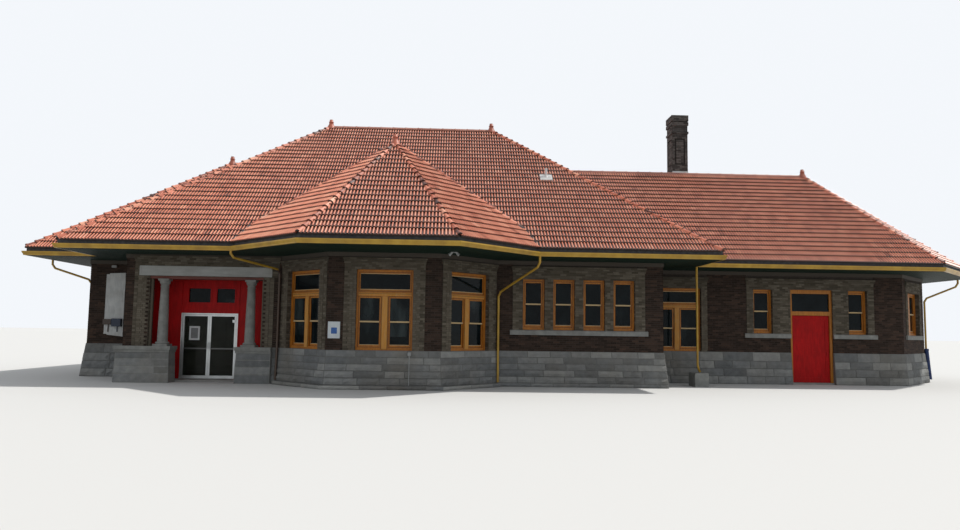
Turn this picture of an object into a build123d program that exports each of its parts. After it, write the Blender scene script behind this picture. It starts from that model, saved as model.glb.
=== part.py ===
# Brick railway station building with hipped tile roof, octagonal bay and octagonal right end.
# X runs along the front from left to right, Y runs from the front to the rear, Z is up. Millimetres.
import os
from math import cos, hypot, radians, sin

from build123d import *

os.makedirs("parts", exist_ok=True)

# Overall plan
MAIN_LENGTH = 17883
MAIN_DEPTH = 11228
LEFT_WING_LENGTH = 2446
RIGHT_WING_LENGTH = 9965
RIGHT_CHAMFER = 2200
WING_SETBACK = 2729
WING_DEPTH = 7598
OVERHANG = 1624

# Bay
BAY_CENTRE = 8668
BAY_FRONT_WIDTH = 3480
BAY_PROJECTION = 1850
BAY_EAVE_PROJECTION = 2533
BAY_EAVE_WIDTH = 4622
BAY_APEX_RUN = 4940
BAY_SIDE_PITCH = 0.72

# Storey
WALL = 400
BASE_TOP = 1176
BASE_BATTER = 140
BASE_LIP = 25
FOOTING_HEIGHT = 120
FOOTING_PROUD = 40
FLOOR_LEVEL = 60
FLOOR_THICK = 60

# Roof
PITCH = 0.793
EAVE_TOP = 4402
ROOF_RISE = 200
RIGHT_HIP_RUN = 2600
SOFFIT_LEVEL = 4200
SOFFIT_THICK = 22
FASCIA_THICK = 25
FRIEZE_BOTTOM = 4060
FRIEZE_THICK = 30
GUTTER_WIDTH = 110
GUTTER_HEIGHT = 140
GUTTER_FOOT = 40
GUTTER_STEP = 32
GUTTER_LIP = 36
GUTTER_SHEET = 6
HIGH = 14000

# Window joinery
FRAME_FRONT = 150
FRAME_BACK = 290
MOULD = 34
MOULD_PROUD = 25
SILL_NOSE = 45
JAMB = 60
HEAD = 80
FRAME_SILL = 90
MULLION = 230
TRANSOM_BAR = 150
UPPER_PLANE = 170
LOWER_PLANE = 212
SASH_THICK = 40
STILE = 50
TOP_RAIL = 60
MEETING_RAIL = 45
BOTTOM_RAIL = 85
LIGHT_RAIL = 70
PANE = 6

# Window openings
TALL_WIDTH = 1760
BAY_WINDOW_TOP = 3680
BAY_TRANSOM = 2850
WING_TRANSOM = 2790
WING_WINDOW_TOP = 3540
SMALL_WINDOW_WIDTH = 740
PAIR_WIDTH = 1750
SMALL_WINDOW_BOTTOM = 1880
SMALL_WINDOW_TOP = 3600
FRONT_WINDOW_START = 870
FRONT_WINDOW_PITCH = 1020
FRONT_WINDOW_COUNT = 4
WING_TALL_START = 461
WING_WINDOW_LEFT = 4205
WING_WINDOW_RIGHT = 7851
REAR_MAIN_COUNT = 4
REAR_WING_COUNT = 2
LEFT_END_COUNT = 2

# Buff brick surrounds and stone sills
BUFF_PROUD = 20
BAY_SURROUND_TOP = 4040
FRONT_SURROUND_TOP = 4010
WING_SURROUND_TOP = 3955
PORCH_SURROUND_TOP = 4150
BAY_SURROUND_SIDE = 370
WING_SURROUND_SIDE = 230
PANEL_MARGIN = 340
WING_PANEL_MARGIN = 255
HEAD_COURSES = 3
COURSE = 62
COURSE_STEP = 14
SILL_HEIGHT = 170
SILL_PROUD = 75
SILL_SLOPE = 20
SILL_END = 90

# Porch
PORCH_LEFT = 784
PORCH_RIGHT = 4504
PORCH_TOP = 3490
PORCH_BUFF_LEFT = 284
PORCH_BUFF_RIGHT = 4994
PILASTER = 230
PILASTER_INSET = 140
PILASTER_PROUD = 18
BEAM_HEIGHT = 100
BEAM_BACK = 380
SCREEN_SETBACK = 1080
SCREEN_THICK = 90
LINTEL_LEFT = 444
LINTEL_RIGHT = 4774
LINTEL_HEIGHT = 320
LINTEL_PROUD = 45
LINTEL_BORDER = 45
LINTEL_SUNK = 14
LEFT_COLUMN = 1234
RIGHT_COLUMN = 4074
COLUMN_SETBACK = 110
SHAFT_BASE_DIA = 330
SHAFT_TOP_DIA = 260
PLINTH_WIDTH = 570
PLINTH_HEIGHT = 70
TORUS_DIA = 405
TORUS_HEIGHT = 70
COLUMN_SIDES = 24
CAPITAL_WIDTH = 460
ABACUS_HEIGHT = 60
ECHINUS_HEIGHT = 70
NECK_HEIGHT = 110
LEFT_PEDESTAL_END = 1564
RIGHT_PEDESTAL_START = 3734
RIGHT_PEDESTAL_END = 4854
PEDESTAL_FRONT = 200
PEDESTAL_BATTER = 35
PEDESTAL_CAP = 115
PEDESTAL_BED = 80
CAP_PROUD = 60
BED_PROUD = 25

# Entrance doors
ENTRY_CENTRE = 2444
ENTRY_WIDTH = 1920
ENTRY_HEIGHT = 2230
ENTRY_FRAME = 45
ENTRY_FRAME_DEPTH = 110
ENTRY_FRAME_PROUD = 30
LEAF_GAP = 8
LEAF_THICK = 45
LEAF_PROUD = 20
LEAF_STILE = 60
LEAF_TOP_RAIL = 50
LEAF_BOTTOM_RAIL = 100
MID_RAIL = 45
MID_RAIL_LEVEL = 1060
PULL_DIA = 25
PULL_REACH = 50
PULL_HEIGHT = 240
LIGHT_BOTTOM = 2660
LIGHT_TOP = 3140
LIGHTS = ((1704, 2434), (2654, 3264))
LIGHT_BEAD = 45
LIGHT_BEAD_PROUD = 15

# Baggage door
BAGGAGE_START = 5621
BAGGAGE_WIDTH = 1630
BAGGAGE_HEIGHT = 2580
BAGGAGE_TOP = 3550
BAGGAGE_FRAME = 95
BAGGAGE_TRANSOM = 150
BAGGAGE_HEAD = 150
BAGGAGE_FRAME_FRONT = 60
BAGGAGE_FRAME_BACK = 180
BAGGAGE_GAP = 8
BAGGAGE_LEAF_THICK = 60
BAGGAGE_STILE = 150
BAGGAGE_RAIL = 190
BAGGAGE_LOCK_LEVEL = 1150
BAGGAGE_SUNK = 15

# Chimney and roof fittings
CHIMNEY_POSITION = 2671
CHIMNEY_BACK = 440
CHIMNEY_WIDTH = 660
CHIMNEY_DEPTH = 800
CHIMNEY_TOP = 11330
CAP_BAND = 260
BAND_GAP = 40
BAND_HEIGHT = 150
CORBEL_TOP = 10600
CORBEL_HEIGHT = 90
CHIMNEY_PROUD = 35
PANEL_WIDTH = 430
PANEL_SIDE_WIDTH = 540
PANEL_TOP = 10290
PANEL_BOTTOM = 9150
PANEL_DEPTH = 50
VENT_ALONG = 14161
VENT_RUN = 3894
VENT_DIA = 100
VENT_HEIGHT = 400
VENT_COLLAR_DIA = 210
VENT_COLLAR_HEIGHT = 130
FLASHING = 480
FLASHING_THICK = 15
FINIAL_BASE = 210
FINIAL_TOP = 130
FINIAL_HEIGHT = 330
FINIAL_SIDES = 8

# Downspouts
PIPE_DIA = 76
PIPE_BEND = 110
PIPE_OFF = 105
PIPE_CORNER = 45
PIPE_SIDES = 12
FAR_LEFT_PIPE = 300
BAY_LEFT_KNEE = 4010
BAY_LEFT_REACH = 3740
BAY_RIGHT_KNEE = 3900
BAY_RIGHT_REACH = 3090
FAR_RIGHT_KNEE = 3950
FAR_RIGHT_REACH = 3380
FAR_LEFT_KNEE = 3930
FAR_LEFT_REACH = 3470
BOOT_TOP = 1300
BOOT_OFF = 215
BOOT_END = 140

# Plan points, centred on the whole roof
LENGTH = 2 * OVERHANG + LEFT_WING_LENGTH + MAIN_LENGTH + RIGHT_WING_LENGTH + RIGHT_CHAMFER
DEPTH = 2 * OVERHANG + BAY_EAVE_PROJECTION + MAIN_DEPTH
X_LEFT = -LENGTH / 2 + OVERHANG
X_MAIN = X_LEFT + LEFT_WING_LENGTH
X_MAIN_END = X_MAIN + MAIN_LENGTH
X_WING_END = X_MAIN_END + RIGHT_WING_LENGTH
X_END = X_WING_END + RIGHT_CHAMFER
Y_FRONT = -DEPTH / 2 + BAY_EAVE_PROJECTION + OVERHANG
Y_REAR = Y_FRONT + MAIN_DEPTH
Y_WING = Y_FRONT + WING_SETBACK
Y_WING_REAR = Y_WING + WING_DEPTH
X_BAY = X_MAIN + BAY_CENTRE
Y_BAY = Y_FRONT - BAY_PROJECTION
BAY_HALF = BAY_FRONT_WIDTH / 2

# Wall outline, anticlockwise from the front left corner
OUTLINE = [
    (X_LEFT, Y_WING), (X_MAIN, Y_WING), (X_MAIN, Y_FRONT),
    (X_BAY - BAY_HALF - BAY_PROJECTION, Y_FRONT), (X_BAY - BAY_HALF, Y_BAY),
    (X_BAY + BAY_HALF, Y_BAY), (X_BAY + BAY_HALF + BAY_PROJECTION, Y_FRONT),
    (X_MAIN_END, Y_FRONT), (X_MAIN_END, Y_WING), (X_WING_END, Y_WING),
    (X_END, Y_WING + RIGHT_CHAMFER), (X_END, Y_WING_REAR - RIGHT_CHAMFER),
    (X_WING_END, Y_WING_REAR), (X_MAIN_END, Y_WING_REAR), (X_MAIN_END, Y_REAR),
    (X_MAIN, Y_REAR), (X_MAIN, Y_WING_REAR), (X_LEFT, Y_WING_REAR),
]


def moved_outline(points, outward):
    """The closed outline with every side moved outward by the same distance."""
    result = []
    count = len(points)
    for i in range(count):
        (ax, ay), (bx, by), (cx, cy) = points[i - 1], points[i], points[(i + 1) % count]
        u = ((bx - ax) / hypot(bx - ax, by - ay), (by - ay) / hypot(bx - ax, by - ay))
        v = ((cx - bx) / hypot(cx - bx, cy - by), (cy - by) / hypot(cx - bx, cy - by))
        n = (u[1], -u[0])
        m = (v[1], -v[0])
        scale = outward / (1 + n[0] * m[0] + n[1] * m[1])
        result.append((bx + (n[0] + m[0]) * scale, by + (n[1] + m[1]) * scale))
    return result


INSIDE = moved_outline(OUTLINE, -WALL)
FOOT = moved_outline(OUTLINE, BASE_BATTER)
EAVE = moved_outline(OUTLINE, OVERHANG)
EAVE[3] = (X_BAY - BAY_EAVE_WIDTH / 2 - BAY_EAVE_PROJECTION, EAVE[3][1])
EAVE[4] = (X_BAY - BAY_EAVE_WIDTH / 2, EAVE[3][1] - BAY_EAVE_PROJECTION)
EAVE[5] = (X_BAY + BAY_EAVE_WIDTH / 2, EAVE[3][1] - BAY_EAVE_PROJECTION)
EAVE[6] = (X_BAY + BAY_EAVE_WIDTH / 2 + BAY_EAVE_PROJECTION, EAVE[3][1])
TILE_EDGE = moved_outline(EAVE, -GUTTER_WIDTH)

# Roof points in plan: ridge ends, bay apex and the valley ends
MAIN_RUN = MAIN_DEPTH / 2 + OVERHANG
WING_RUN = WING_DEPTH / 2 + OVERHANG
Y_RIDGE = Y_FRONT + MAIN_DEPTH / 2
Y_WING_RIDGE = Y_WING + WING_DEPTH / 2
RIDGE_LEFT = (EAVE[2][0] + MAIN_RUN, Y_RIDGE)
RIDGE_RIGHT = (EAVE[7][0] - MAIN_RUN, Y_RIDGE)
LEFT_TIP = (EAVE[0][0] + WING_RUN, Y_WING_RIDGE)
LEFT_MEET = (EAVE[2][0] + WING_RUN, Y_WING_RIDGE)
RIGHT_MEET = (EAVE[7][0] - WING_RUN, Y_WING_RIDGE)
RIGHT_TIP = (EAVE[9][0] - RIGHT_HIP_RUN, Y_WING_RIDGE)
WING_RISE = PITCH * WING_RUN
MAIN_RISE = PITCH * MAIN_RUN
APEX = (X_BAY, EAVE[4][1] + BAY_APEX_RUN)
APEX_RISE = PITCH * BAY_APEX_RUN
APEX_BACK = (X_BAY, EAVE[3][1] + APEX_RISE / PITCH)


def run_from(start, end, point):
    """Horizontal distance of a point inward from the line through start and end."""
    length = hypot(end[0] - start[0], end[1] - start[1])
    turn = (end[0] - start[0]) * (point[1] - start[1]) - (end[1] - start[1]) * (point[0] - start[0])
    return turn / length


CHAMFER_PITCH = WING_RISE / run_from(EAVE[9], EAVE[10], RIGHT_TIP)
END_PITCH = WING_RISE / run_from(EAVE[10], EAVE[11], RIGHT_TIP)
BAY_CORNER_PITCH = APEX_RISE / run_from(EAVE[5], EAVE[6], APEX)


def meeting_point(a, b, c, d, e, f):
    """Point where a*x + b*y = c meets d*x + e*y = f."""
    det = a * e - d * b
    return ((c * e - f * b) / det, (a * f - d * c) / det)


# Where the bay's corner slope, its side slope and the main slope meet
_lean = BAY_CORNER_PITCH / 2 ** 0.5
VALLEY_RIGHT = meeting_point(
    _lean, PITCH - _lean, PITCH * EAVE[3][1] + _lean * (EAVE[5][0] - EAVE[5][1]),
    BAY_SIDE_PITCH, PITCH, APEX_RISE + PITCH * EAVE[3][1] + BAY_SIDE_PITCH * X_BAY,
)
VALLEY_LEFT = (2 * X_BAY - VALLEY_RIGHT[0], VALLEY_RIGHT[1])

# Each roof slope: its plan corners, the eave line its height is measured from, and its pitch
BAY_SIDE_RUN = APEX_RISE / BAY_SIDE_PITCH
SIDE_EAVE_RIGHT = ((X_BAY + BAY_SIDE_RUN, Y_FRONT), (X_BAY + BAY_SIDE_RUN, Y_REAR))
SIDE_EAVE_LEFT = ((X_BAY - BAY_SIDE_RUN, Y_REAR), (X_BAY - BAY_SIDE_RUN, Y_FRONT))
SLOPES = {
    "main_front": (
        [EAVE[2], EAVE[3], VALLEY_LEFT, APEX_BACK, VALLEY_RIGHT, EAVE[6], EAVE[7], RIDGE_RIGHT, RIDGE_LEFT],
        (EAVE[2], EAVE[7]), PITCH),
    "main_rear": ([EAVE[14], EAVE[15], RIDGE_LEFT, RIDGE_RIGHT], (EAVE[14], EAVE[15]), PITCH),
    "main_left": (
        [EAVE[2], RIDGE_LEFT, EAVE[15], EAVE[16], LEFT_MEET, EAVE[1]], (EAVE[15], EAVE[2]), PITCH),
    "main_right": (
        [EAVE[7], EAVE[8], RIGHT_MEET, EAVE[13], EAVE[14], RIDGE_RIGHT], (EAVE[7], EAVE[14]), PITCH),
    "left_front": ([EAVE[0], EAVE[1], LEFT_MEET, LEFT_TIP], (EAVE[0], EAVE[1]), PITCH),
    "left_rear": ([EAVE[16], EAVE[17], LEFT_TIP, LEFT_MEET], (EAVE[16], EAVE[17]), PITCH),
    "left_end": ([EAVE[17], EAVE[0], LEFT_TIP], (EAVE[17], EAVE[0]), PITCH),
    "right_front": ([EAVE[8], EAVE[9], RIGHT_TIP, RIGHT_MEET], (EAVE[8], EAVE[9]), PITCH),
    "right_rear": ([EAVE[12], EAVE[13], RIGHT_MEET, RIGHT_TIP], (EAVE[12], EAVE[13]), PITCH),
    "right_front_corner": ([EAVE[9], EAVE[10], RIGHT_TIP], (EAVE[9], EAVE[10]), CHAMFER_PITCH),
    "right_end": ([EAVE[10], EAVE[11], RIGHT_TIP], (EAVE[10], EAVE[11]), END_PITCH),
    "right_rear_corner": ([EAVE[11], EAVE[12], RIGHT_TIP], (EAVE[11], EAVE[12]), CHAMFER_PITCH),
    "bay_front": ([EAVE[4], EAVE[5], APEX], (EAVE[4], EAVE[5]), PITCH),
    "bay_right": ([EAVE[5], EAVE[6], VALLEY_RIGHT, APEX], (EAVE[5], EAVE[6]), BAY_CORNER_PITCH),
    "bay_left": ([EAVE[3], EAVE[4], APEX, VALLEY_LEFT], (EAVE[3], EAVE[4]), BAY_CORNER_PITCH),
    "bay_right_side": ([VALLEY_RIGHT, APEX_BACK, APEX], SIDE_EAVE_RIGHT, BAY_SIDE_PITCH),
    "bay_left_side": ([VALLEY_LEFT, APEX, APEX_BACK], SIDE_EAVE_LEFT, BAY_SIDE_PITCH),
}


def outline_face(points, level=0.0):
    """A horizontal face with the given plan corners."""
    with BuildSketch(Plane.XY.offset(level)) as face:
        with BuildLine():
            Polyline(*points, close=True)
        make_face()
    return face.sketch


def section_plane(start, end):
    """Upright plane across the line from start to end: its x runs inward, its y runs up."""
    length = hypot(end[0] - start[0], end[1] - start[1])
    along = ((end[0] - start[0]) / length, (end[1] - start[1]) / length)
    return Plane(origin=(start[0], start[1], 0), x_dir=(-along[1], along[0], 0), z_dir=(along[0], along[1], 0))


def section_face(start, end, points):
    """A section face of (inward, up) points standing across the line from start to end."""
    with BuildSketch(section_plane(start, end)) as face:
        with BuildLine():
            Polyline(*points, close=True)
        make_face()
    return face.sketch


def side(i, j=None, points=OUTLINE):
    """Start and end of one side of an outline."""
    return points[i], points[(i + 1 if j is None else j) % len(points)]


def strip(outer, inner, first, last):
    """Plan corners of the band between two outlines, from corner first to corner last."""
    count = len(outer)
    steps = (last - first) % count
    path = [(first + k) % count for k in range(steps + 1)]
    return [outer[i] for i in path] + [inner[i] for i in reversed(path)]


def on_side(i, along, inward=0.0):
    """Point at a distance along a wall side and inward from its outer face."""
    (ax, ay), (bx, by) = side(i)
    length = hypot(bx - ax, by - ay)
    u = ((bx - ax) / length, (by - ay) / length)
    return (ax + u[0] * along - u[1] * inward, ay + u[1] * along + u[0] * inward)


def side_length(i):
    (ax, ay), (bx, by) = side(i)
    return hypot(bx - ax, by - ay)


def wall_box(i, start, end, front, back, bottom, top, mode=Mode.ADD):
    """Box on a wall side: start and end run along the wall, front and back run inward."""
    corners = [on_side(i, start, front), on_side(i, end, front), on_side(i, end, back), on_side(i, start, back)]
    extrude(outline_face(corners, bottom), amount=top - bottom, mode=mode)


def face_plane(i, inward):
    """Plane parallel to a wall side: its x runs along the wall, its y runs up, and it faces outward."""
    (ax, ay), (bx, by) = side(i)
    length = hypot(bx - ax, by - ay)
    u = ((bx - ax) / length, (by - ay) / length)
    x, y = on_side(i, 0, inward)
    return Plane(origin=(x, y, 0), x_dir=(u[0], u[1], 0), z_dir=(u[1], -u[0], 0))


def wall_slab(i, front, back, outer, holes=(), mode=Mode.ADD):
    """Slab parallel to a wall side, with holes: each rectangle is left, right, bottom and top."""
    with BuildSketch(face_plane(i, back)) as face:
        for k, (left, right, low, high) in enumerate([outer, *holes]):
            with Locations(((left + right) / 2, (low + high) / 2)):
                Rectangle(right - left, high - low, mode=Mode.ADD if k == 0 else Mode.SUBTRACT)
    extrude(face.sketch, amount=back - front, mode=mode)


def opening(i, start, width, bottom, top):
    """Cut right through a wall side."""
    wall_box(i, start, start + width, -WALL, 2 * WALL, bottom, top, Mode.SUBTRACT)


def slope_solid(name, low, high):
    """One roof slope between two heights measured at its eave line."""
    points, (start, end), pitch = SLOPES[name]
    rise = pitch * LENGTH
    with BuildPart() as piece:
        extrude(outline_face(points), amount=HIGH)
        extrude(
            section_face(start, end, [(0, low), (LENGTH, low + rise), (LENGTH, high + rise), (0, high)]),
            amount=2 * LENGTH, both=True, mode=Mode.INTERSECT)
    return piece.part


def attic_solid(name):
    """Everything below one slope's underside, down to the ground."""
    points, (start, end), pitch = SLOPES[name]
    low = EAVE_TOP - ROOF_RISE
    with BuildPart() as piece:
        extrude(outline_face(points), amount=HIGH)
        extrude(
            section_face(start, end, [(0, 0), (LENGTH, 0), (LENGTH, low + pitch * LENGTH), (0, low)]),
            amount=2 * LENGTH, both=True, mode=Mode.INTERSECT)
    return piece.part


def base_run(i, corners):
    """Battered stone base along one wall side, cut to its plan corners."""
    with BuildPart() as piece:
        extrude(outline_face(corners), amount=BASE_TOP)
        extrude(
            section_face(*side(i), [(-BASE_BATTER, 0), (WALL, 0), (WALL, BASE_TOP), (-BASE_LIP, BASE_TOP)]),
            amount=LENGTH, both=True, mode=Mode.INTERSECT)
    return piece.part


def base_side(i):
    """Plan corners of the base along a whole wall side."""
    j = (i + 1) % len(OUTLINE)
    return [FOOT[i], FOOT[j], INSIDE[j], INSIDE[i]]


# Space under the roof slopes: every wall is trimmed to it
with BuildPart() as under_roof:
    for slope in SLOPES:
        add(attic_solid(slope))

# The same space raised by the roof's thickness: what stands on the roof is cut off at its top
with BuildPart() as below_tiles:
    add(under_roof.part.moved(Location((0, 0, ROOF_RISE))))


# Windows: wall side, start along it, width, bottom, top, pairs of sashes, and a transom level or None
BAY_CORNER_START = (side_length(3) - TALL_WIDTH) / 2
BAY_FRONT_START = (BAY_FRONT_WIDTH - TALL_WIDTH) / 2
TALL_WINDOWS = [
    (3, BAY_CORNER_START, TALL_WIDTH, BASE_TOP, BAY_WINDOW_TOP, 2, BAY_TRANSOM),
    (4, BAY_FRONT_START, TALL_WIDTH, BASE_TOP, BAY_WINDOW_TOP, 2, BAY_TRANSOM),
    (5, BAY_CORNER_START, TALL_WIDTH, BASE_TOP, BAY_WINDOW_TOP, 2, BAY_TRANSOM),
    (8, WING_TALL_START, TALL_WIDTH, BASE_TOP, WING_WINDOW_TOP, 2, WING_TRANSOM),
]
FRONT_WINDOWS = [
    (6, FRONT_WINDOW_START + k * FRONT_WINDOW_PITCH, SMALL_WINDOW_WIDTH,
     SMALL_WINDOW_BOTTOM, SMALL_WINDOW_TOP, 1, None)
    for k in range(FRONT_WINDOW_COUNT)
]
WING_WINDOWS = [
    (8, start, SMALL_WINDOW_WIDTH, SMALL_WINDOW_BOTTOM, WING_WINDOW_TOP, 1, None)
    for start in (WING_WINDOW_LEFT, WING_WINDOW_RIGHT)
]


def spread_pairs(i, count, top):
    """Paired windows spread evenly along a wall side."""
    length = side_length(i)
    return [
        (i, length * (2 * k + 1) / (2 * count) - PAIR_WIDTH / 2, PAIR_WIDTH, SMALL_WINDOW_BOTTOM, top, 2, None)
        for k in range(count)
    ]


END_WINDOWS = spread_pairs(9, 1, WING_WINDOW_TOP) + spread_pairs(10, 1, WING_WINDOW_TOP)
END_WINDOWS += spread_pairs(11, 1, WING_WINDOW_TOP)
REAR_WINDOWS = (
    spread_pairs(12, REAR_WING_COUNT, WING_WINDOW_TOP)
    + spread_pairs(14, REAR_MAIN_COUNT, SMALL_WINDOW_TOP)
)
REAR_WINDOWS += spread_pairs(17, LEFT_END_COUNT, WING_WINDOW_TOP)
PAIR_WINDOWS = END_WINDOWS + REAR_WINDOWS
SMALL_WINDOWS = FRONT_WINDOWS + WING_WINDOWS + PAIR_WINDOWS
WINDOWS = TALL_WINDOWS + SMALL_WINDOWS


def cut_windows(i):
    """Cut every window that stands in one wall side."""
    for number, start, width, bottom, top, _, _ in WINDOWS:
        if number == i:
            opening(number, start, width, bottom, top)


def frame_lights(window):
    """Openings in a window's frame: one for each pair of sashes, then one for a top light."""
    _, start, width, bottom, top, pairs, transom = window
    head = top - HEAD if transom is None else transom
    clear = (width - 2 * JAMB - (pairs - 1) * MULLION) / pairs
    lights = []
    for k in range(pairs):
        left = start + JAMB + k * (clear + MULLION)
        lights.append((left, left + clear, bottom + FRAME_SILL, head))
    if transom is not None:
        lights.append((start + JAMB, start + width - JAMB, transom + TRANSOM_BAR, top - HEAD))
    return lights


def window_frame(window):
    """One timber frame: jambs, head, sill, mullion and transom bar, with a brick mould round its face."""
    number, start, width, bottom, top, _, _ = window
    outer = (start, start + width, bottom, top)
    mould_hole = (start + MOULD, start + width - MOULD, bottom + SILL_NOSE, top - MOULD)
    wall_slab(number, FRAME_FRONT, FRAME_BACK, outer, frame_lights(window))
    wall_slab(number, FRAME_FRONT - MOULD_PROUD, FRAME_FRONT, outer, [mould_hole])


def upper_sash_list(window):
    """Sashes in the outer plane: left, right, bottom, top, lower rail and upper rail."""
    pairs = window[5]
    lights = frame_lights(window)
    sashes = [
        (left, right, (low + high - MEETING_RAIL) / 2, high, MEETING_RAIL, TOP_RAIL)
        for left, right, low, high in lights[:pairs]
    ]
    fixed = [(left, right, low, high, LIGHT_RAIL, TOP_RAIL) for left, right, low, high in lights[pairs:]]
    return sashes + fixed


def lower_sash_list(window):
    """Sashes in the inner plane, which lap the upper ones at the meeting rails."""
    return [
        (left, right, low, (low + high + MEETING_RAIL) / 2, BOTTOM_RAIL, MEETING_RAIL)
        for left, right, low, high in frame_lights(window)[:window[5]]
    ]


def sash_hole(sash):
    """The glazed opening of a sash."""
    left, right, low, high, lower_rail, upper_rail = sash
    return (left + STILE, right - STILE, low + lower_rail, high - upper_rail)


# Stone bases
with BuildPart() as left_wing_base:
    for number in (15, 16, 17, 0):
        add(base_run(number, base_side(number)))
    add(base_run(1, [FOOT[1], on_side(1, WING_SETBACK - WALL, -BASE_BATTER),
                     on_side(1, WING_SETBACK - WALL, WALL), INSIDE[1]]))

# Pedestals: start, end, and 1 where that end stands free or 0 where it meets the base
PEDESTALS = ((-BASE_BATTER, LEFT_PEDESTAL_END, 1, 1), (RIGHT_PEDESTAL_START, RIGHT_PEDESTAL_END, 1, 0))


def pedestal_corners(start, end, front):
    """Plan corners of a pedestal, back to the inner face of the porch wall."""
    return [on_side(2, start, -front), on_side(2, end, -front), on_side(2, end, WALL), on_side(2, start, WALL)]


with BuildPart() as porch_pedestals:
    bed_level = BASE_TOP - PEDESTAL_CAP - PEDESTAL_BED
    for start, end, free_start, free_end in PEDESTALS:
        foot = pedestal_corners(start - free_start * PEDESTAL_BATTER, end + free_end * PEDESTAL_BATTER,
                                PEDESTAL_FRONT + PEDESTAL_BATTER)
        loft([outline_face(foot), outline_face(pedestal_corners(start, end, PEDESTAL_FRONT), bed_level)])
        cap_level = BASE_TOP - PEDESTAL_CAP
        for proud, low, high in ((BED_PROUD, bed_level, cap_level), (CAP_PROUD, cap_level, BASE_TOP)):
            wall_box(2, start - free_start * proud, end + free_end * proud,
                     -PEDESTAL_FRONT - proud, WALL, low, high)

# The bay's base stands on a footing course
FOOTING = moved_outline(OUTLINE, BASE_BATTER + FOOTING_PROUD)
with BuildPart() as bay_base:
    add(base_run(2, [on_side(2, RIGHT_PEDESTAL_END, -BASE_BATTER), FOOT[3], INSIDE[3],
                     on_side(2, RIGHT_PEDESTAL_END, WALL)]))
    for number in (3, 4, 5):
        add(base_run(number, base_side(number)))
    extrude(outline_face(strip(FOOTING, OUTLINE, 3, 6)), amount=FOOTING_HEIGHT)

BAGGAGE_END = BAGGAGE_START + BAGGAGE_WIDTH
with BuildPart() as main_front_base:
    for number in (6, 7):
        add(base_run(number, base_side(number)))
    add(base_run(8, [FOOT[8], on_side(8, BAGGAGE_START, -BASE_BATTER),
                     on_side(8, BAGGAGE_START, WALL), INSIDE[8]]))

with BuildPart() as right_end_base:
    add(base_run(8, [on_side(8, BAGGAGE_END, -BASE_BATTER), FOOT[9], INSIDE[9], on_side(8, BAGGAGE_END, WALL)]))
    for number in (9, 10, 11):
        add(base_run(number, base_side(number)))

with BuildPart() as right_wing_rear_base:
    for number in (12, 13):
        add(base_run(number, base_side(number)))

with BuildPart() as rear_base:
    add(base_run(14, base_side(14)))

# Brick walls, trimmed to the underside of the roof
with BuildPart() as left_wing_walls:
    extrude(outline_face(strip(OUTLINE, INSIDE, 15, 2), BASE_TOP), amount=HIGH)
    add(under_roof.part, mode=Mode.INTERSECT)
    cut_windows(17)

with BuildPart() as porch_wall:
    extrude(outline_face(strip(OUTLINE, INSIDE, 2, 3), BASE_TOP), amount=HIGH)
    add(under_roof.part, mode=Mode.INTERSECT)
    opening(2, PORCH_LEFT, PORCH_RIGHT - PORCH_LEFT, BASE_TOP, PORCH_TOP)

with BuildPart() as bay_walls:
    extrude(outline_face(strip(OUTLINE, INSIDE, 3, 6), BASE_TOP), amount=HIGH)
    add(under_roof.part, mode=Mode.INTERSECT)
    for number in (3, 4, 5):
        cut_windows(number)

with BuildPart() as main_front_wall:
    extrude(outline_face(strip(OUTLINE, INSIDE, 6, 7), BASE_TOP), amount=HIGH)
    add(under_roof.part, mode=Mode.INTERSECT)
    cut_windows(6)

with BuildPart() as right_wing_wall_left:
    corners = [OUTLINE[7], OUTLINE[8], on_side(8, BAGGAGE_START),
               on_side(8, BAGGAGE_START, WALL), INSIDE[8], INSIDE[7]]
    extrude(outline_face(corners, BASE_TOP), amount=HIGH)
    add(under_roof.part, mode=Mode.INTERSECT)
    cut_windows(8)

with BuildPart() as baggage_door_header:
    wall_box(8, BAGGAGE_START, BAGGAGE_END, 0, WALL, BAGGAGE_TOP, HIGH)
    add(under_roof.part, mode=Mode.INTERSECT)

with BuildPart() as right_wing_wall_right:
    corners = [on_side(8, BAGGAGE_END), OUTLINE[9], INSIDE[9], on_side(8, BAGGAGE_END, WALL)]
    extrude(outline_face(corners, BASE_TOP), amount=HIGH)
    add(under_roof.part, mode=Mode.INTERSECT)
    cut_windows(8)

with BuildPart() as right_end_walls:
    extrude(outline_face(strip(OUTLINE, INSIDE, 9, 12), BASE_TOP), amount=HIGH)
    add(under_roof.part, mode=Mode.INTERSECT)
    for number in (9, 10, 11):
        cut_windows(number)

with BuildPart() as right_wing_rear_wall:
    extrude(outline_face(strip(OUTLINE, INSIDE, 12, 14), BASE_TOP), amount=HIGH)
    add(under_roof.part, mode=Mode.INTERSECT)
    cut_windows(12)

with BuildPart() as rear_walls:
    extrude(outline_face(strip(OUTLINE, INSIDE, 14, 15), BASE_TOP), amount=HIGH)
    add(under_roof.part, mode=Mode.INTERSECT)
    cut_windows(14)

# Floor, through the baggage doorway too
with BuildPart() as floor_slab:
    extrude(outline_face(INSIDE), amount=FLOOR_THICK)
    wall_box(8, BAGGAGE_START, BAGGAGE_END, 0, WALL, 0, FLOOR_THICK)

# Roof slopes, cut back to the gutter all round
with BuildPart() as tile_limit:
    extrude(outline_face(TILE_EDGE), amount=HIGH)


def roof_slopes(names):
    """The named slopes as one solid."""
    with BuildPart() as piece:
        for name in names:
            add(slope_solid(name, EAVE_TOP - ROOF_RISE, EAVE_TOP))
        add(tile_limit.part, mode=Mode.INTERSECT)
    return piece.part


with BuildPart() as main_front_slope:
    add(roof_slopes(["main_front"]))

with BuildPart() as main_rear_slope:
    add(roof_slopes(["main_rear"]))

with BuildPart() as main_left_slope:
    add(roof_slopes(["main_left"]))

with BuildPart() as main_right_slope:
    add(roof_slopes(["main_right"]))

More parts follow.
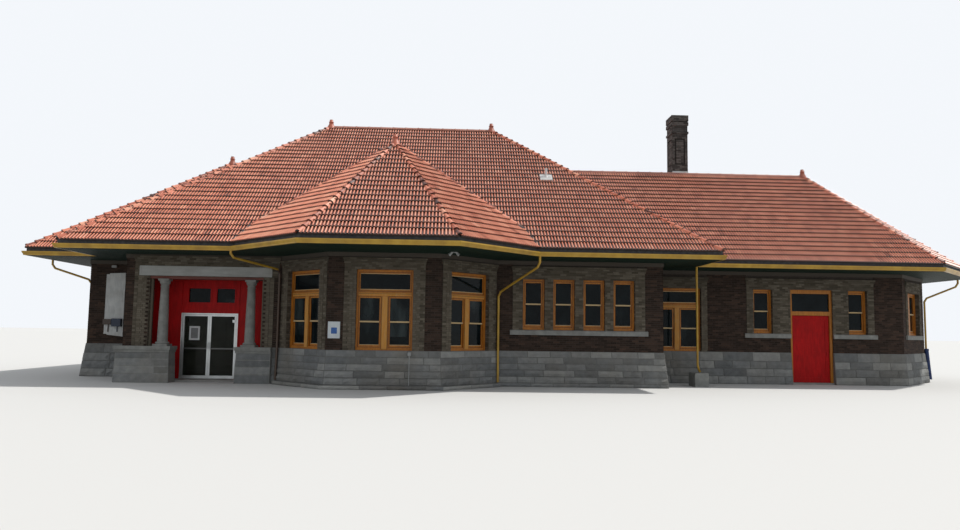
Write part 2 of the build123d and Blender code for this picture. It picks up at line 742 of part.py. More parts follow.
with BuildPart() as left_wing_roof:
    add(roof_slopes(["left_front", "left_end", "left_rear"]))

with BuildPart() as right_wing_roof:
    add(roof_slopes(["right_front", "right_front_corner", "right_end", "right_rear_corner", "right_rear"]))

with BuildPart() as bay_roof:
    add(roof_slopes(["bay_front", "bay_left", "bay_right", "bay_left_side", "bay_right_side"]))

# Eaves: boarded soffit with fascia, and a frieze board at the top of the walls
FASCIA_BACK = moved_outline(TILE_EDGE, -FASCIA_THICK)
FRIEZE = moved_outline(OUTLINE, FRIEZE_THICK)
HEAD_REACH = HEAD_COURSES * COURSE_STEP


def soffit(first, last):
    """Soffit, fascia and frieze from one wall corner to another, under the roof slopes."""
    with BuildPart() as piece:
        extrude(outline_face(strip(TILE_EDGE, OUTLINE, first, last), SOFFIT_LEVEL), amount=SOFFIT_THICK)
        extrude(outline_face(strip(TILE_EDGE, FASCIA_BACK, first, last), SOFFIT_LEVEL), amount=ROOF_RISE)
        frieze = outline_face(strip(FRIEZE, OUTLINE, first, last), FRIEZE_BOTTOM)
        extrude(frieze, amount=SOFFIT_LEVEL - FRIEZE_BOTTOM)
        add(under_roof.part, mode=Mode.INTERSECT)
    return piece.part


with BuildPart() as front_soffit:
    add(soffit(0, 9))
    wall_box(2, PORCH_BUFF_LEFT - HEAD_REACH, PORCH_BUFF_RIGHT + HEAD_REACH, -FRIEZE_THICK, 0,
             FRIEZE_BOTTOM, PORCH_SURROUND_TOP, Mode.SUBTRACT)

with BuildPart() as rear_soffit:
    add(soffit(9, 0))

# Gutters: one bent-sheet profile carried round every corner of the eaves and mitred there
GUTTER_PROFILE = [
    (GUTTER_WIDTH, SOFFIT_LEVEL), (GUTTER_FOOT, SOFFIT_LEVEL), (GUTTER_FOOT, SOFFIT_LEVEL + GUTTER_STEP),
    (0, SOFFIT_LEVEL + GUTTER_HEIGHT - GUTTER_LIP), (0, SOFFIT_LEVEL + GUTTER_HEIGHT),
    (GUTTER_SHEET, SOFFIT_LEVEL + GUTTER_HEIGHT),
    (GUTTER_SHEET, SOFFIT_LEVEL + GUTTER_HEIGHT - GUTTER_LIP + GUTTER_SHEET / 2),
    (GUTTER_FOOT + GUTTER_SHEET, SOFFIT_LEVEL + GUTTER_STEP + GUTTER_SHEET / 2),
    (GUTTER_FOOT + GUTTER_SHEET, SOFFIT_LEVEL + GUTTER_SHEET), (GUTTER_WIDTH, SOFFIT_LEVEL + GUTTER_SHEET),
]


def gutter_run(i):
    """Gutter along one eave, cut to the mitre lines at both corners."""
    j = (i + 1) % len(EAVE)
    with BuildPart() as piece:
        block = outline_face([EAVE[i], EAVE[j], TILE_EDGE[j], TILE_EDGE[i]], SOFFIT_LEVEL)
        extrude(block, amount=GUTTER_HEIGHT)
        extrude(section_face(EAVE[i], EAVE[j], GUTTER_PROFILE), amount=LENGTH, both=True, mode=Mode.INTERSECT)
    return piece.part


with BuildPart() as front_gutter:
    for number in range(0, 9):
        add(gutter_run(number))

with BuildPart() as rear_gutter:
    for number in range(9, 18):
        add(gutter_run(number))

# Chimney with recessed panels, a corbel and two bands, standing just behind the wing's ridge
X_CHIMNEY = X_MAIN_END + CHIMNEY_POSITION
Y_CHIMNEY = Y_WING_RIDGE + CHIMNEY_BACK
CHIMNEY_FOOT = CHIMNEY_BACK + CHIMNEY_DEPTH
WING_RIDGE = EAVE_TOP + WING_RISE
CAP_BOTTOM = CHIMNEY_TOP - CAP_BAND
CHIMNEY_BANDS = (
    (CAP_BOTTOM, CHIMNEY_TOP),
    (CAP_BOTTOM - BAND_GAP - BAND_HEIGHT, CAP_BOTTOM - BAND_GAP),
    (CORBEL_TOP - CORBEL_HEIGHT, CORBEL_TOP),
)
with BuildPart() as chimney:
    with Locations((X_CHIMNEY, Y_CHIMNEY, WING_RIDGE - CHIMNEY_FOOT)):
        Box(CHIMNEY_WIDTH, CHIMNEY_DEPTH, CHIMNEY_TOP - WING_RIDGE + CHIMNEY_FOOT,
            align=(Align.CENTER, Align.CENTER, Align.MIN))
    for low, high in CHIMNEY_BANDS:
        with Locations((X_CHIMNEY, Y_CHIMNEY, low)):
            Box(CHIMNEY_WIDTH + 2 * CHIMNEY_PROUD, CHIMNEY_DEPTH + 2 * CHIMNEY_PROUD, high - low,
                align=(Align.CENTER, Align.CENTER, Align.MIN))
    panel_level = (PANEL_TOP + PANEL_BOTTOM) / 2
    for turn in (-1, 1):
        with Locations((X_CHIMNEY, Y_CHIMNEY + turn * CHIMNEY_DEPTH / 2, panel_level)):
            Box(PANEL_WIDTH, 2 * PANEL_DEPTH, PANEL_TOP - PANEL_BOTTOM, mode=Mode.SUBTRACT)
        with Locations((X_CHIMNEY + turn * CHIMNEY_WIDTH / 2, Y_CHIMNEY, panel_level)):
            Box(2 * PANEL_DEPTH, PANEL_SIDE_WIDTH, PANEL_TOP - PANEL_BOTTOM, mode=Mode.SUBTRACT)
    add(below_tiles.part, mode=Mode.SUBTRACT)

# Tapered finials at the ridge ends and on the bay's apex
FINIAL_POINTS = [
    (RIDGE_LEFT, EAVE_TOP + MAIN_RISE), (RIDGE_RIGHT, EAVE_TOP + MAIN_RISE), (LEFT_TIP, WING_RIDGE),
    (RIGHT_TIP, WING_RIDGE), (APEX, EAVE_TOP + APEX_RISE),
]
with BuildPart() as ridge_finials:
    for point, level in FINIAL_POINTS:
        for height, width in ((level - FINIAL_BASE, FINIAL_BASE), (level + FINIAL_HEIGHT, FINIAL_TOP)):
            with BuildSketch(Plane.XY.offset(height)):
                with Locations(point):
                    RegularPolygon(width / 2, FINIAL_SIDES)
        loft(ruled=True)
    add(below_tiles.part, mode=Mode.SUBTRACT)

# Vent pipe with a conical collar on its flashing
X_VENT = X_MAIN + VENT_ALONG
Y_VENT = EAVE[2][1] + VENT_RUN
VENT_LEVEL = EAVE_TOP + PITCH * VENT_RUN
with BuildPart() as roof_vent_pipe:
    half = FLASHING / 2
    square = [(X_VENT - half, Y_VENT - half), (X_VENT + half, Y_VENT - half),
              (X_VENT + half, Y_VENT + half), (X_VENT - half, Y_VENT + half)]
    rise = PITCH * HIGH
    slope = [(0, EAVE_TOP), (HIGH, EAVE_TOP + rise), (HIGH, EAVE_TOP + FLASHING_THICK + rise),
             (0, EAVE_TOP + FLASHING_THICK)]
    extrude(outline_face(square), amount=HIGH)
    extrude(section_face(EAVE[2], EAVE[7], slope), amount=2 * HIGH, both=True, mode=Mode.INTERSECT)
    with Locations((X_VENT, Y_VENT, VENT_LEVEL - VENT_DIA)):
        Cylinder(VENT_DIA / 2, VENT_HEIGHT + VENT_DIA, align=(Align.CENTER, Align.CENTER, Align.MIN))
    with Locations((X_VENT, Y_VENT, VENT_LEVEL)):
        Cone(VENT_COLLAR_DIA / 2, VENT_DIA / 2, VENT_COLLAR_HEIGHT,
             align=(Align.CENTER, Align.CENTER, Align.MIN))
    add(below_tiles.part, mode=Mode.SUBTRACT)

# Window joinery: frames, then double-hung sashes in two planes, then the glass
with BuildPart() as tall_window_frames:
    for window in TALL_WINDOWS:
        window_frame(window)

with BuildPart() as small_window_frames:
    for window in SMALL_WINDOWS:
        window_frame(window)

with BuildPart() as upper_sashes:
    for window in WINDOWS:
        for sash in upper_sash_list(window):
            wall_slab(window[0], UPPER_PLANE, UPPER_PLANE + SASH_THICK, sash[:4], [sash_hole(sash)])

with BuildPart() as lower_sashes:
    for window in WINDOWS:
        for sash in lower_sash_list(window):
            wall_slab(window[0], LOWER_PLANE, LOWER_PLANE + SASH_THICK, sash[:4], [sash_hole(sash)])

PANE_OFF = (SASH_THICK - PANE) / 2
with BuildPart() as window_glass:
    for window in WINDOWS:
        for sash in upper_sash_list(window):
            wall_slab(window[0], UPPER_PLANE + PANE_OFF, UPPER_PLANE + PANE_OFF + PANE, sash_hole(sash))
        for sash in lower_sash_list(window):
            wall_slab(window[0], LOWER_PLANE + PANE_OFF, LOWER_PLANE + PANE_OFF + PANE, sash_hole(sash))


def surround(i, left, right, bottom, top):
    """Buff brick facing whose head steps out course by course."""
    wall_box(i, left, right, -BUFF_PROUD, 0, bottom, top)
    for k in range(1, HEAD_COURSES + 1):
        step = k * COURSE_STEP
        low = top - (HEAD_COURSES + 1 - k) * COURSE
        wall_box(i, left - step, right + step, -BUFF_PROUD - step, 0, low, low + COURSE)


def panel(windows, margin, top):
    """Buff surround of a row of small windows, standing on its sill."""
    surround(windows[0][0], windows[0][1] - margin, windows[-1][1] + windows[-1][2] + margin,
             SMALL_WINDOW_BOTTOM, top)


# Buff brick surrounds stand a little proud of the brown brick
with BuildPart() as buff_surrounds:
    for number, start, width, bottom, _, _, _ in TALL_WINDOWS[:3]:
        surround(number, start - BAY_SURROUND_SIDE, start + width + BAY_SURROUND_SIDE, bottom, BAY_SURROUND_TOP)
    number, start, width, bottom, _, _, _ = TALL_WINDOWS[3]
    surround(number, start - WING_SURROUND_SIDE, start + width + WING_SURROUND_SIDE, bottom, WING_SURROUND_TOP)
    panel(FRONT_WINDOWS, PANEL_MARGIN, FRONT_SURROUND_TOP)
    panel(WING_WINDOWS, WING_PANEL_MARGIN, WING_SURROUND_TOP)
    for window in PAIR_WINDOWS:
        panel([window], WING_PANEL_MARGIN, WING_SURROUND_TOP)
    for number, start, width, bottom, top, _, _ in WINDOWS:
        opening(number, start, width, bottom, top)
    opening(8, BAGGAGE_START, BAGGAGE_WIDTH, 0, BAGGAGE_TOP)
    surround(2, PORCH_BUFF_LEFT, PORCH_BUFF_RIGHT, BASE_TOP, PORCH_SURROUND_TOP)
    for left in (PORCH_BUFF_LEFT + PILASTER_INSET, PORCH_BUFF_RIGHT - PILASTER_INSET - PILASTER):
        wall_box(2, left, left + PILASTER, -BUFF_PROUD - PILASTER_PROUD, 0, BASE_TOP, PORCH_TOP)
    opening(2, PORCH_LEFT, PORCH_RIGHT - PORCH_LEFT, BASE_TOP, PORCH_TOP)

# Stone sills with a sloped top
SILL_PROFILE = [
    (0, SMALL_WINDOW_BOTTOM - SILL_HEIGHT), (0, SMALL_WINDOW_BOTTOM),
    (-BUFF_PROUD, SMALL_WINDOW_BOTTOM), (-SILL_PROUD, SMALL_WINDOW_BOTTOM - SILL_SLOPE),
    (-SILL_PROUD, SMALL_WINDOW_BOTTOM - SILL_HEIGHT),
]


def sill(i, start, end):
    """Sill along a wall side from start to end."""
    extrude(section_face(on_side(i, start), on_side(i, end), SILL_PROFILE), amount=end - start)


with BuildPart() as stone_sills:
    reach = PANEL_MARGIN + SILL_END
    wing_reach = WING_PANEL_MARGIN + SILL_END
    sill(6, FRONT_WINDOW_START - reach, FRONT_WINDOWS[-1][1] + SMALL_WINDOW_WIDTH + reach)
    sill(8, WING_WINDOW_LEFT - wing_reach, BAGGAGE_START)
    sill(8, BAGGAGE_END, WING_WINDOW_RIGHT + SMALL_WINDOW_WIDTH + wing_reach)
    for number, start, width, _, _, _, _ in PAIR_WINDOWS:
        sill(number, start - wing_reach, start + width + wing_reach)

# Porch: lining of the recess, beam and sunk-panel lintel board over it
CHEEK = 250
CEILING_THICK = 60
SCREEN_BACK = SCREEN_SETBACK + SCREEN_THICK
with BuildPart() as porch_side_walls:
    wall_box(2, PORCH_LEFT - CHEEK, PORCH_LEFT, WALL, SCREEN_BACK, FLOOR_LEVEL, PORCH_TOP)
    wall_box(2, PORCH_RIGHT, PORCH_RIGHT + CHEEK, WALL, SCREEN_BACK, FLOOR_LEVEL, PORCH_TOP)

with BuildPart() as porch_ceiling:
    wall_box(2, PORCH_LEFT - CHEEK, PORCH_RIGHT + CHEEK, WALL, SCREEN_BACK,
             PORCH_TOP, PORCH_TOP + CEILING_THICK)

with BuildPart() as porch_beam:
    wall_box(2, PORCH_LEFT, PORCH_RIGHT, 0, BEAM_BACK, PORCH_TOP - BEAM_HEIGHT, PORCH_TOP)

with BuildPart() as porch_lintel:
    board = (LINTEL_LEFT, LINTEL_RIGHT, PORCH_TOP, PORCH_TOP + LINTEL_HEIGHT)
    sunk = (LINTEL_LEFT + LINTEL_BORDER, LINTEL_RIGHT - LINTEL_BORDER,
            PORCH_TOP + LINTEL_BORDER, PORCH_TOP + LINTEL_HEIGHT - LINTEL_BORDER)
    wall_slab(2, LINTEL_SUNK - LINTEL_PROUD - BUFF_PROUD, -BUFF_PROUD, board)
    wall_slab(2, -LINTEL_PROUD - BUFF_PROUD, LINTEL_SUNK - LINTEL_PROUD - BUFF_PROUD, board, [sunk])

# Columns: square plinth and abacus, with faceted torus, tapered shaft, collar, neck and echinus between them
COLUMN_TOP = PORCH_TOP - BEAM_HEIGHT
ECHINUS_LEVEL = COLUMN_TOP - ABACUS_HEIGHT - ECHINUS_HEIGHT
SHAFT_TOP = ECHINUS_LEVEL - NECK_HEIGHT
TORUS_LEVEL = BASE_TOP + PLINTH_HEIGHT
COLLAR = 24
COLUMN_BANDS = [
    (TORUS_LEVEL, TORUS_DIA - TORUS_HEIGHT, TORUS_LEVEL + TORUS_HEIGHT / 4, TORUS_DIA),
    (TORUS_LEVEL + TORUS_HEIGHT / 4, TORUS_DIA, TORUS_LEVEL + 3 * TORUS_HEIGHT / 4, TORUS_DIA),
    (TORUS_LEVEL + 3 * TORUS_HEIGHT / 4, TORUS_DIA, TORUS_LEVEL + TORUS_HEIGHT, TORUS_DIA - TORUS_HEIGHT),
    (TORUS_LEVEL + TORUS_HEIGHT, SHAFT_BASE_DIA, SHAFT_TOP, SHAFT_TOP_DIA),
    (SHAFT_TOP, SHAFT_TOP_DIA + COLLAR, SHAFT_TOP + COLLAR, SHAFT_TOP_DIA + COLLAR),
    (SHAFT_TOP + COLLAR, SHAFT_TOP_DIA, ECHINUS_LEVEL, SHAFT_TOP_DIA),
    (ECHINUS_LEVEL, SHAFT_TOP_DIA, ECHINUS_LEVEL + ECHINUS_HEIGHT / 2, SHAFT_TOP_DIA + ECHINUS_HEIGHT * 1.3),
    (ECHINUS_LEVEL + ECHINUS_HEIGHT / 2, SHAFT_TOP_DIA + ECHINUS_HEIGHT * 1.3, COLUMN_TOP - ABACUS_HEIGHT,
     SHAFT_TOP_DIA + ECHINUS_HEIGHT * 1.8),
]
with BuildPart() as porch_columns:
    for along in (LEFT_COLUMN, RIGHT_COLUMN):
        x, y = on_side(2, along, COLUMN_SETBACK)
        for low, low_dia, high, high_dia in COLUMN_BANDS:
            for level, diameter in ((low, low_dia), (high, high_dia)):
                with BuildSketch(Plane.XY.offset(level)):
                    with Locations((x, y)):
                        RegularPolygon(diameter / 2, COLUMN_SIDES)
            loft(ruled=True)
        with Locations((x, y, BASE_TOP)):
            Box(PLINTH_WIDTH, PLINTH_WIDTH, PLINTH_HEIGHT, align=(Align.CENTER, Align.CENTER, Align.MIN))
        with Locations((x, y, COLUMN_TOP)):
            Box(CAPITAL_WIDTH, CAPITAL_WIDTH, ABACUS_HEIGHT, align=(Align.CENTER, Align.CENTER, Align.MAX))

# Red screen with two top lights over the glazed doors
ENTRY_START = ENTRY_CENTRE - ENTRY_WIDTH / 2
ENTRY_END = ENTRY_CENTRE + ENTRY_WIDTH / 2
ENTRY_TOP = FLOOR_LEVEL + ENTRY_HEIGHT
LIGHT_HOLES = [(left, right, LIGHT_BOTTOM, LIGHT_TOP) for left, right in LIGHTS]
with BuildPart() as entry_screen:
    wall_slab(2, SCREEN_SETBACK, SCREEN_BACK, (PORCH_LEFT, PORCH_RIGHT, FLOOR_LEVEL, PORCH_TOP),
              LIGHT_HOLES + [(ENTRY_START, ENTRY_END, FLOOR_LEVEL, ENTRY_TOP)])
    for left, right, low, high in LIGHT_HOLES:
        wall_slab(2, SCREEN_SETBACK - LIGHT_BEAD_PROUD, SCREEN_SETBACK,
                  (left - LIGHT_BEAD, right + LIGHT_BEAD, low - LIGHT_BEAD, high + LIGHT_BEAD),
                  [(left, right, low, high)])

with BuildPart() as entry_top_lights:
    for hole in LIGHT_HOLES:
        wall_slab(2, SCREEN_SETBACK + SCREEN_THICK / 2, SCREEN_SETBACK + SCREEN_THICK / 2 + PANE, hole)

ENTRY_FRAME_FRONT = SCREEN_SETBACK - ENTRY_FRAME_PROUD
with BuildPart() as entry_door_frame:
    wall_slab(2, ENTRY_FRAME_FRONT, ENTRY_FRAME_FRONT + ENTRY_FRAME_DEPTH,
              (ENTRY_START, ENTRY_END, FLOOR_LEVEL, ENTRY_TOP),
              [(ENTRY_START + ENTRY_FRAME, ENTRY_END - ENTRY_FRAME, FLOOR_LEVEL, ENTRY_TOP - ENTRY_FRAME)])

# Glazed leaves, hung at their outer stiles and opening outward
LEAF_BOTTOM = FLOOR_LEVEL + LEAF_GAP
LEAF_TOP = ENTRY_TOP - ENTRY_FRAME - LEAF_GAP
LEAF_WIDTH = (ENTRY_WIDTH - 2 * ENTRY_FRAME - 3 * LEAF_GAP) / 2
LEAF_FRONT = SCREEN_SETBACK - LEAF_PROUD
LEAF_BACK = LEAF_FRONT + LEAF_THICK
LEFT_LEAF = ENTRY_START + ENTRY_FRAME + LEAF_GAP
RIGHT_LEAF = LEFT_LEAF + LEAF_WIDTH + LEAF_GAP
CLOSER = 90
CLOSER_PROUD = 35
CLOSER_LEVEL = 1980


def leaf_panes(start):
    """The two glazed openings of an entry leaf."""
    left = start + LEAF_STILE
    right = start + LEAF_WIDTH - LEAF_STILE
    return [
        (left, right, LEAF_BOTTOM + LEAF_BOTTOM_RAIL, MID_RAIL_LEVEL),
        (left, right, MID_RAIL_LEVEL + MID_RAIL, LEAF_TOP - LEAF_TOP_RAIL),
    ]


def leaf_with_pull(start, pull_middle):
    """Narrow-stile leaf with a bow pull on its meeting stile."""
    wall_slab(2, LEAF_FRONT, LEAF_BACK, (start, start + LEAF_WIDTH, LEAF_BOTTOM, LEAF_TOP), leaf_panes(start))
    left = pull_middle - PULL_DIA / 2
    wall_box(2, left, left + PULL_DIA, LEAF_FRONT - PULL_REACH, LEAF_FRONT,
             MID_RAIL_LEVEL, MID_RAIL_LEVEL + PULL_HEIGHT)
    wall_box(2, left, left + PULL_DIA, LEAF_FRONT - PULL_REACH + PULL_DIA, LEAF_FRONT,
             MID_RAIL_LEVEL + PULL_DIA, MID_RAIL_LEVEL + PULL_HEIGHT - PULL_DIA, Mode.SUBTRACT)


with BuildPart() as entry_left_leaf:
    leaf_with_pull(LEFT_LEAF, LEFT_LEAF + LEAF_WIDTH - LEAF_STILE / 2)

with BuildPart() as entry_right_leaf:
    leaf_with_pull(RIGHT_LEAF, RIGHT_LEAF + LEAF_STILE / 2)
    closer_end = RIGHT_LEAF + LEAF_WIDTH - LEAF_STILE / 2
    wall_box(2, closer_end - CLOSER, closer_end, LEAF_FRONT - CLOSER_PROUD, LEAF_FRONT,
             CLOSER_LEVEL, CLOSER_LEVEL + CLOSER)

LEAF_GLASS_FRONT = LEAF_FRONT + (LEAF_THICK - PANE) / 2
with BuildPart() as entry_left_glass:
    for hole in leaf_panes(LEFT_LEAF):
        wall_slab(2, LEAF_GLASS_FRONT, LEAF_GLASS_FRONT + PANE, hole)

with BuildPart() as entry_right_glass:
    for hole in leaf_panes(RIGHT_LEAF):
        wall_slab(2, LEAF_GLASS_FRONT, LEAF_GLASS_FRONT + PANE, hole)

# Baggage door: timber frame with a top light, and one panelled leaf opening inward
DOOR_LEFT = BAGGAGE_START + BAGGAGE_FRAME
DOOR_RIGHT = BAGGAGE_END - BAGGAGE_FRAME
BAGGAGE_LIGHT = (DOOR_LEFT, DOOR_RIGHT, BAGGAGE_HEIGHT + BAGGAGE_TRANSOM, BAGGAGE_TOP - BAGGAGE_HEAD)
with BuildPart() as baggage_door_frame:
    wall_slab(8, BAGGAGE_FRAME_FRONT, BAGGAGE_FRAME_BACK,
              (BAGGAGE_START, BAGGAGE_END, FLOOR_LEVEL, BAGGAGE_TOP),
              [(DOOR_LEFT, DOOR_RIGHT, FLOOR_LEVEL, BAGGAGE_HEIGHT), BAGGAGE_LIGHT])

with BuildPart() as baggage_top_light:
    middle = (BAGGAGE_FRAME_FRONT + BAGGAGE_FRAME_BACK) / 2
    wall_slab(8, middle, middle + PANE, BAGGAGE_LIGHT)

LEAF_LEFT = DOOR_LEFT + BAGGAGE_GAP
LEAF_RIGHT = DOOR_RIGHT - BAGGAGE_GAP
BAGGAGE_FOOT = FLOOR_LEVEL + BAGGAGE_GAP
BAGGAGE_LEAF_TOP = BAGGAGE_HEIGHT - BAGGAGE_GAP
BAGGAGE_LEAF_FRONT = BAGGAGE_FRAME_BACK - BAGGAGE_LEAF_THICK
LOCK = 30
with BuildPart() as baggage_door:
    wall_slab(8, BAGGAGE_LEAF_FRONT, BAGGAGE_FRAME_BACK,
              (LEAF_LEFT, LEAF_RIGHT, BAGGAGE_FOOT, BAGGAGE_LEAF_TOP))
    for low, high in ((BAGGAGE_FOOT + BAGGAGE_RAIL, BAGGAGE_LOCK_LEVEL - BAGGAGE_RAIL / 2),
                      (BAGGAGE_LOCK_LEVEL + BAGGAGE_RAIL / 2, BAGGAGE_LEAF_TOP - BAGGAGE_STILE)):
        sunk = (LEAF_LEFT + BAGGAGE_STILE, LEAF_RIGHT - BAGGAGE_STILE, low, high)
        wall_slab(8, BAGGAGE_LEAF_FRONT, BAGGAGE_LEAF_FRONT + BAGGAGE_SUNK, sunk, mode=Mode.SUBTRACT)
        wall_slab(8, BAGGAGE_FRAME_BACK - BAGGAGE_SUNK, BAGGAGE_FRAME_BACK, sunk, mode=Mode.SUBTRACT)
    lock_start = LEAF_RIGHT - BAGGAGE_STILE / 2
    wall_box(8, lock_start - LOCK, lock_start + LOCK, BAGGAGE_LEAF_FRONT - LOCK, BAGGAGE_LEAF_FRONT,
             BAGGAGE_LOCK_LEVEL - 2 * LOCK, BAGGAGE_LOCK_LEVEL + 2 * LOCK)

# Boards on the left wing: a wide one with a slanting foot and a narrow one beside it
BOARD_START = 580
NARROW_BOARD = 120
WIDE_BOARD = 570
BOARD_BOTTOM = 1430
BOARD_SLANT = 60
BOARD_TOP = 3750
NARROW_BOTTOM = 1520
NARROW_TOP = 3690
BOARD_THICK = 40
with BuildPart() as wall_notice_board:
    split_at = BOARD_START + NARROW_BOARD
    wall_slab(0, -BOARD_THICK / 2, 0, (BOARD_START, split_at, NARROW_BOTTOM, NARROW_TOP))
    with BuildSketch(face_plane(0, 0)):
        with BuildLine():
            Polyline((split_at, BOARD_BOTTOM + BOARD_SLANT), (split_at + WIDE_BOARD, BOARD_BOTTOM),
                     (split_at + WIDE_BOARD, BOARD_TOP), (split_at, BOARD_TOP - BOARD_SLANT / 2), close=True)
        make_face()
    extrude(amount=BOARD_THICK)

# Fittings on the walls: two boxes on stems by the boards, a lamp over them, an outlet box and its conduit
BOX_DEPTH = 150
STEM = 30
LAMP_WIDTH = 170
LAMP_HEIGHT = 80
LAMP_REACH = 180
LAMP_LEVEL = 3925
OUTLET_ALONG = 2546
OUTLET = 100
OUTLET_LEVEL = 1030
OUTLET_OUT = 185
CONDUIT_DIA = 25


def base_face(level):
    """How far the battered stone face stands out at a height."""
    return BASE_BATTER - (BASE_BATTER - BASE_LIP) * level / BASE_TOP


with BuildPart() as wall_fittings:
    for left, right, low, high, foot in ((910, 1230, 1790, 2080, 1600), (600, 890, 1855, 2057, 1595)):
        wall_box(0, left, right, -BOARD_THICK - BOX_DEPTH, -BOARD_THICK, low, high)
        middle = (left + right) / 2
        wall_box(0, middle - STEM / 2, middle + STEM / 2, -BOARD_THICK - STEM, -BOARD_THICK, foot, low)
    middle = BOARD_START + NARROW_BOARD + WIDE_BOARD / 3
    wall_box(0, middle - LAMP_WIDTH / 2, middle + LAMP_WIDTH / 2, -LAMP_REACH, -LAMP_REACH + LAMP_HEIGHT,
             LAMP_LEVEL, LAMP_LEVEL + LAMP_HEIGHT)
    wall_box(0, middle - STEM, middle + STEM, -LAMP_REACH + LAMP_HEIGHT, 0,
             LAMP_LEVEL + STEM, LAMP_LEVEL + LAMP_HEIGHT)
    outlet_top = OUTLET_LEVEL + OUTLET
    outlet_profile = [(-base_face(OUTLET_LEVEL), OUTLET_LEVEL), (-base_face(outlet_top), outlet_top),
                      (-OUTLET_OUT, outlet_top), (-OUTLET_OUT, OUTLET_LEVEL)]
    outlet_start = OUTLET_ALONG - OUTLET / 2
    outlet_face = section_face(on_side(4, outlet_start), on_side(4, outlet_start + OUTLET), outlet_profile)
    extrude(outlet_face, amount=OUTLET)
    x, y = on_side(4, OUTLET_ALONG, -BASE_BATTER - FOOTING_PROUD / 2)
    with Locations((x, y, FOOTING_HEIGHT)):
        Cylinder(CONDUIT_DIA / 2, OUTLET_LEVEL - FOOTING_HEIGHT, align=(Align.CENTER, Align.CENTER, Align.MIN))

# Plain plate on the bay
PLATE_WIDTH = 370
PLATE_HEIGHT = 510
PLATE_START = 30
PLATE_BOTTOM = 1530
PLATE_THICK = 6
with BuildPart() as access_sign_plate:
    wall_box(4, PLATE_START, PLATE_START + PLATE_WIDTH, -PLATE_THICK, 0,
             PLATE_BOTTOM, PLATE_BOTTOM + PLATE_HEIGHT)

# Twin floodlight under the bay's soffit
LAMP_BASE = 100
LAMP_BASE_HEIGHT = 35
HEAD_DIA = 110
HEAD_LENGTH = 130
HEAD_SPREAD = 55
HEAD_TILT = 50
HEAD_SIDES = 12
FLOOD_ALONG = 3860
FLOOD_OUT = 600
with BuildPart() as bay_floodlight:
    x, y = on_side(4, FLOOD_ALONG, -FLOOD_OUT)
    with Locations((x, y, SOFFIT_LEVEL)):
        Box(2 * LAMP_BASE, LAMP_BASE, LAMP_BASE_HEIGHT, align=(Align.CENTER, Align.CENTER, Align.MAX))
    for turn in (-1, 1):
        lean = radians(HEAD_TILT)
        back = Plane(origin=(x + turn * HEAD_SPREAD, y, SOFFIT_LEVEL - LAMP_BASE_HEIGHT / 2),
                     x_dir=(0, 1, 0), z_dir=(turn * sin(lean), 0, -cos(lean)))
        for plane, diameter in ((back, HEAD_DIA / 2), (back.offset(HEAD_LENGTH), HEAD_DIA)):
            with BuildSketch(plane):
                RegularPolygon(diameter / 2, HEAD_SIDES)
        loft(ruled=True)
    with Locations((x, y, SOFFIT_LEVEL)):
        Box(HIGH, HIGH, HIGH, align=(Align.CENTER, Align.CENTER, Align.MIN), mode=Mode.SUBTRACT)

# Splash block under the downspout at the wing
X_SPOUT = EAVE[8][0] - GUTTER_WIDTH + PIPE_DIA / 2
Y_SPOUT = EAVE[8][1] + GUTTER_WIDTH - PIPE_DIA / 2
BLOCK_WIDTH = 480
BLOCK_DEPTH = 700
BLOCK_HEIGHT = 470
BLOCK_FRONT = 450
with BuildPart() as downspout_block:
    with Locations((X_SPOUT, Y_SPOUT - BLOCK_FRONT, 0)):
        Box(BLOCK_WIDTH, BLOCK_DEPTH, BLOCK_HEIGHT, align=(Align.CENTER, Align.MIN, Align.MIN))

# Downspouts: top, how far down it drops, wall point, foot point, and the level where it reaches the wall
GUTTER_MIDDLE = GUTTER_WIDTH - PIPE_DIA / 2
FAR_LEFT_FOOT = side_length(17) - FAR_LEFT_PIPE
PIPES = [
    ((EAVE[3][0], EAVE[3][1] + GUTTER_MIDDLE), BAY_LEFT_KNEE,
     on_side(2, side_length(2) - PIPE_CORNER, -PIPE_OFF),
     on_side(2, side_length(2) - PIPE_CORNER, -BOOT_OFF), BAY_LEFT_REACH),
    ((EAVE[6][0], EAVE[6][1] + GUTTER_MIDDLE), BAY_RIGHT_KNEE, on_side(6, PIPE_CORNER, -PIPE_OFF),
     on_side(6, PIPE_CORNER, -BOOT_OFF), BAY_RIGHT_REACH),
    ((EAVE[10][0] - GUTTER_MIDDLE, OUTLINE[10][1] + PIPE_CORNER), FAR_RIGHT_KNEE,
     on_side(10, PIPE_CORNER, -PIPE_OFF), on_side(10, PIPE_CORNER, -BOOT_OFF), FAR_RIGHT_REACH),
    ((EAVE[0][0] + GUTTER_MIDDLE, OUTLINE[0][1] + FAR_LEFT_PIPE), FAR_LEFT_KNEE,
     on_side(17, FAR_LEFT_FOOT, -PIPE_OFF), on_side(17, FAR_LEFT_FOOT, -BOOT_OFF), FAR_LEFT_REACH),
]
SPOUT_KNEE = 640
SPOUT_END = BLOCK_HEIGHT + PIPE_DIA / 2 + 10
SPOUT_KICK = 240


def pipe(points):
    """Round sheet pipe through the given points, with each bend made of two mitred elbows."""
    path = [Vector(*points[0])]
    for before, corner, after in zip(points, points[1:], points[2:]):
        corner = Vector(*corner)
        path.append(corner + (Vector(*before) - corner).normalized() * PIPE_BEND)
        path.append(corner + (Vector(*after) - corner).normalized() * PIPE_BEND)
    path.append(Vector(*points[-1]))
    with BuildLine() as line:
        Polyline(*path)
    with BuildSketch(Plane(origin=points[0], z_dir=(0, 0, -1))) as section:
        RegularPolygon(PIPE_DIA / 2, PIPE_SIDES)
    sweep(section.sketch, path=line.line, transition=Transition.RIGHT)


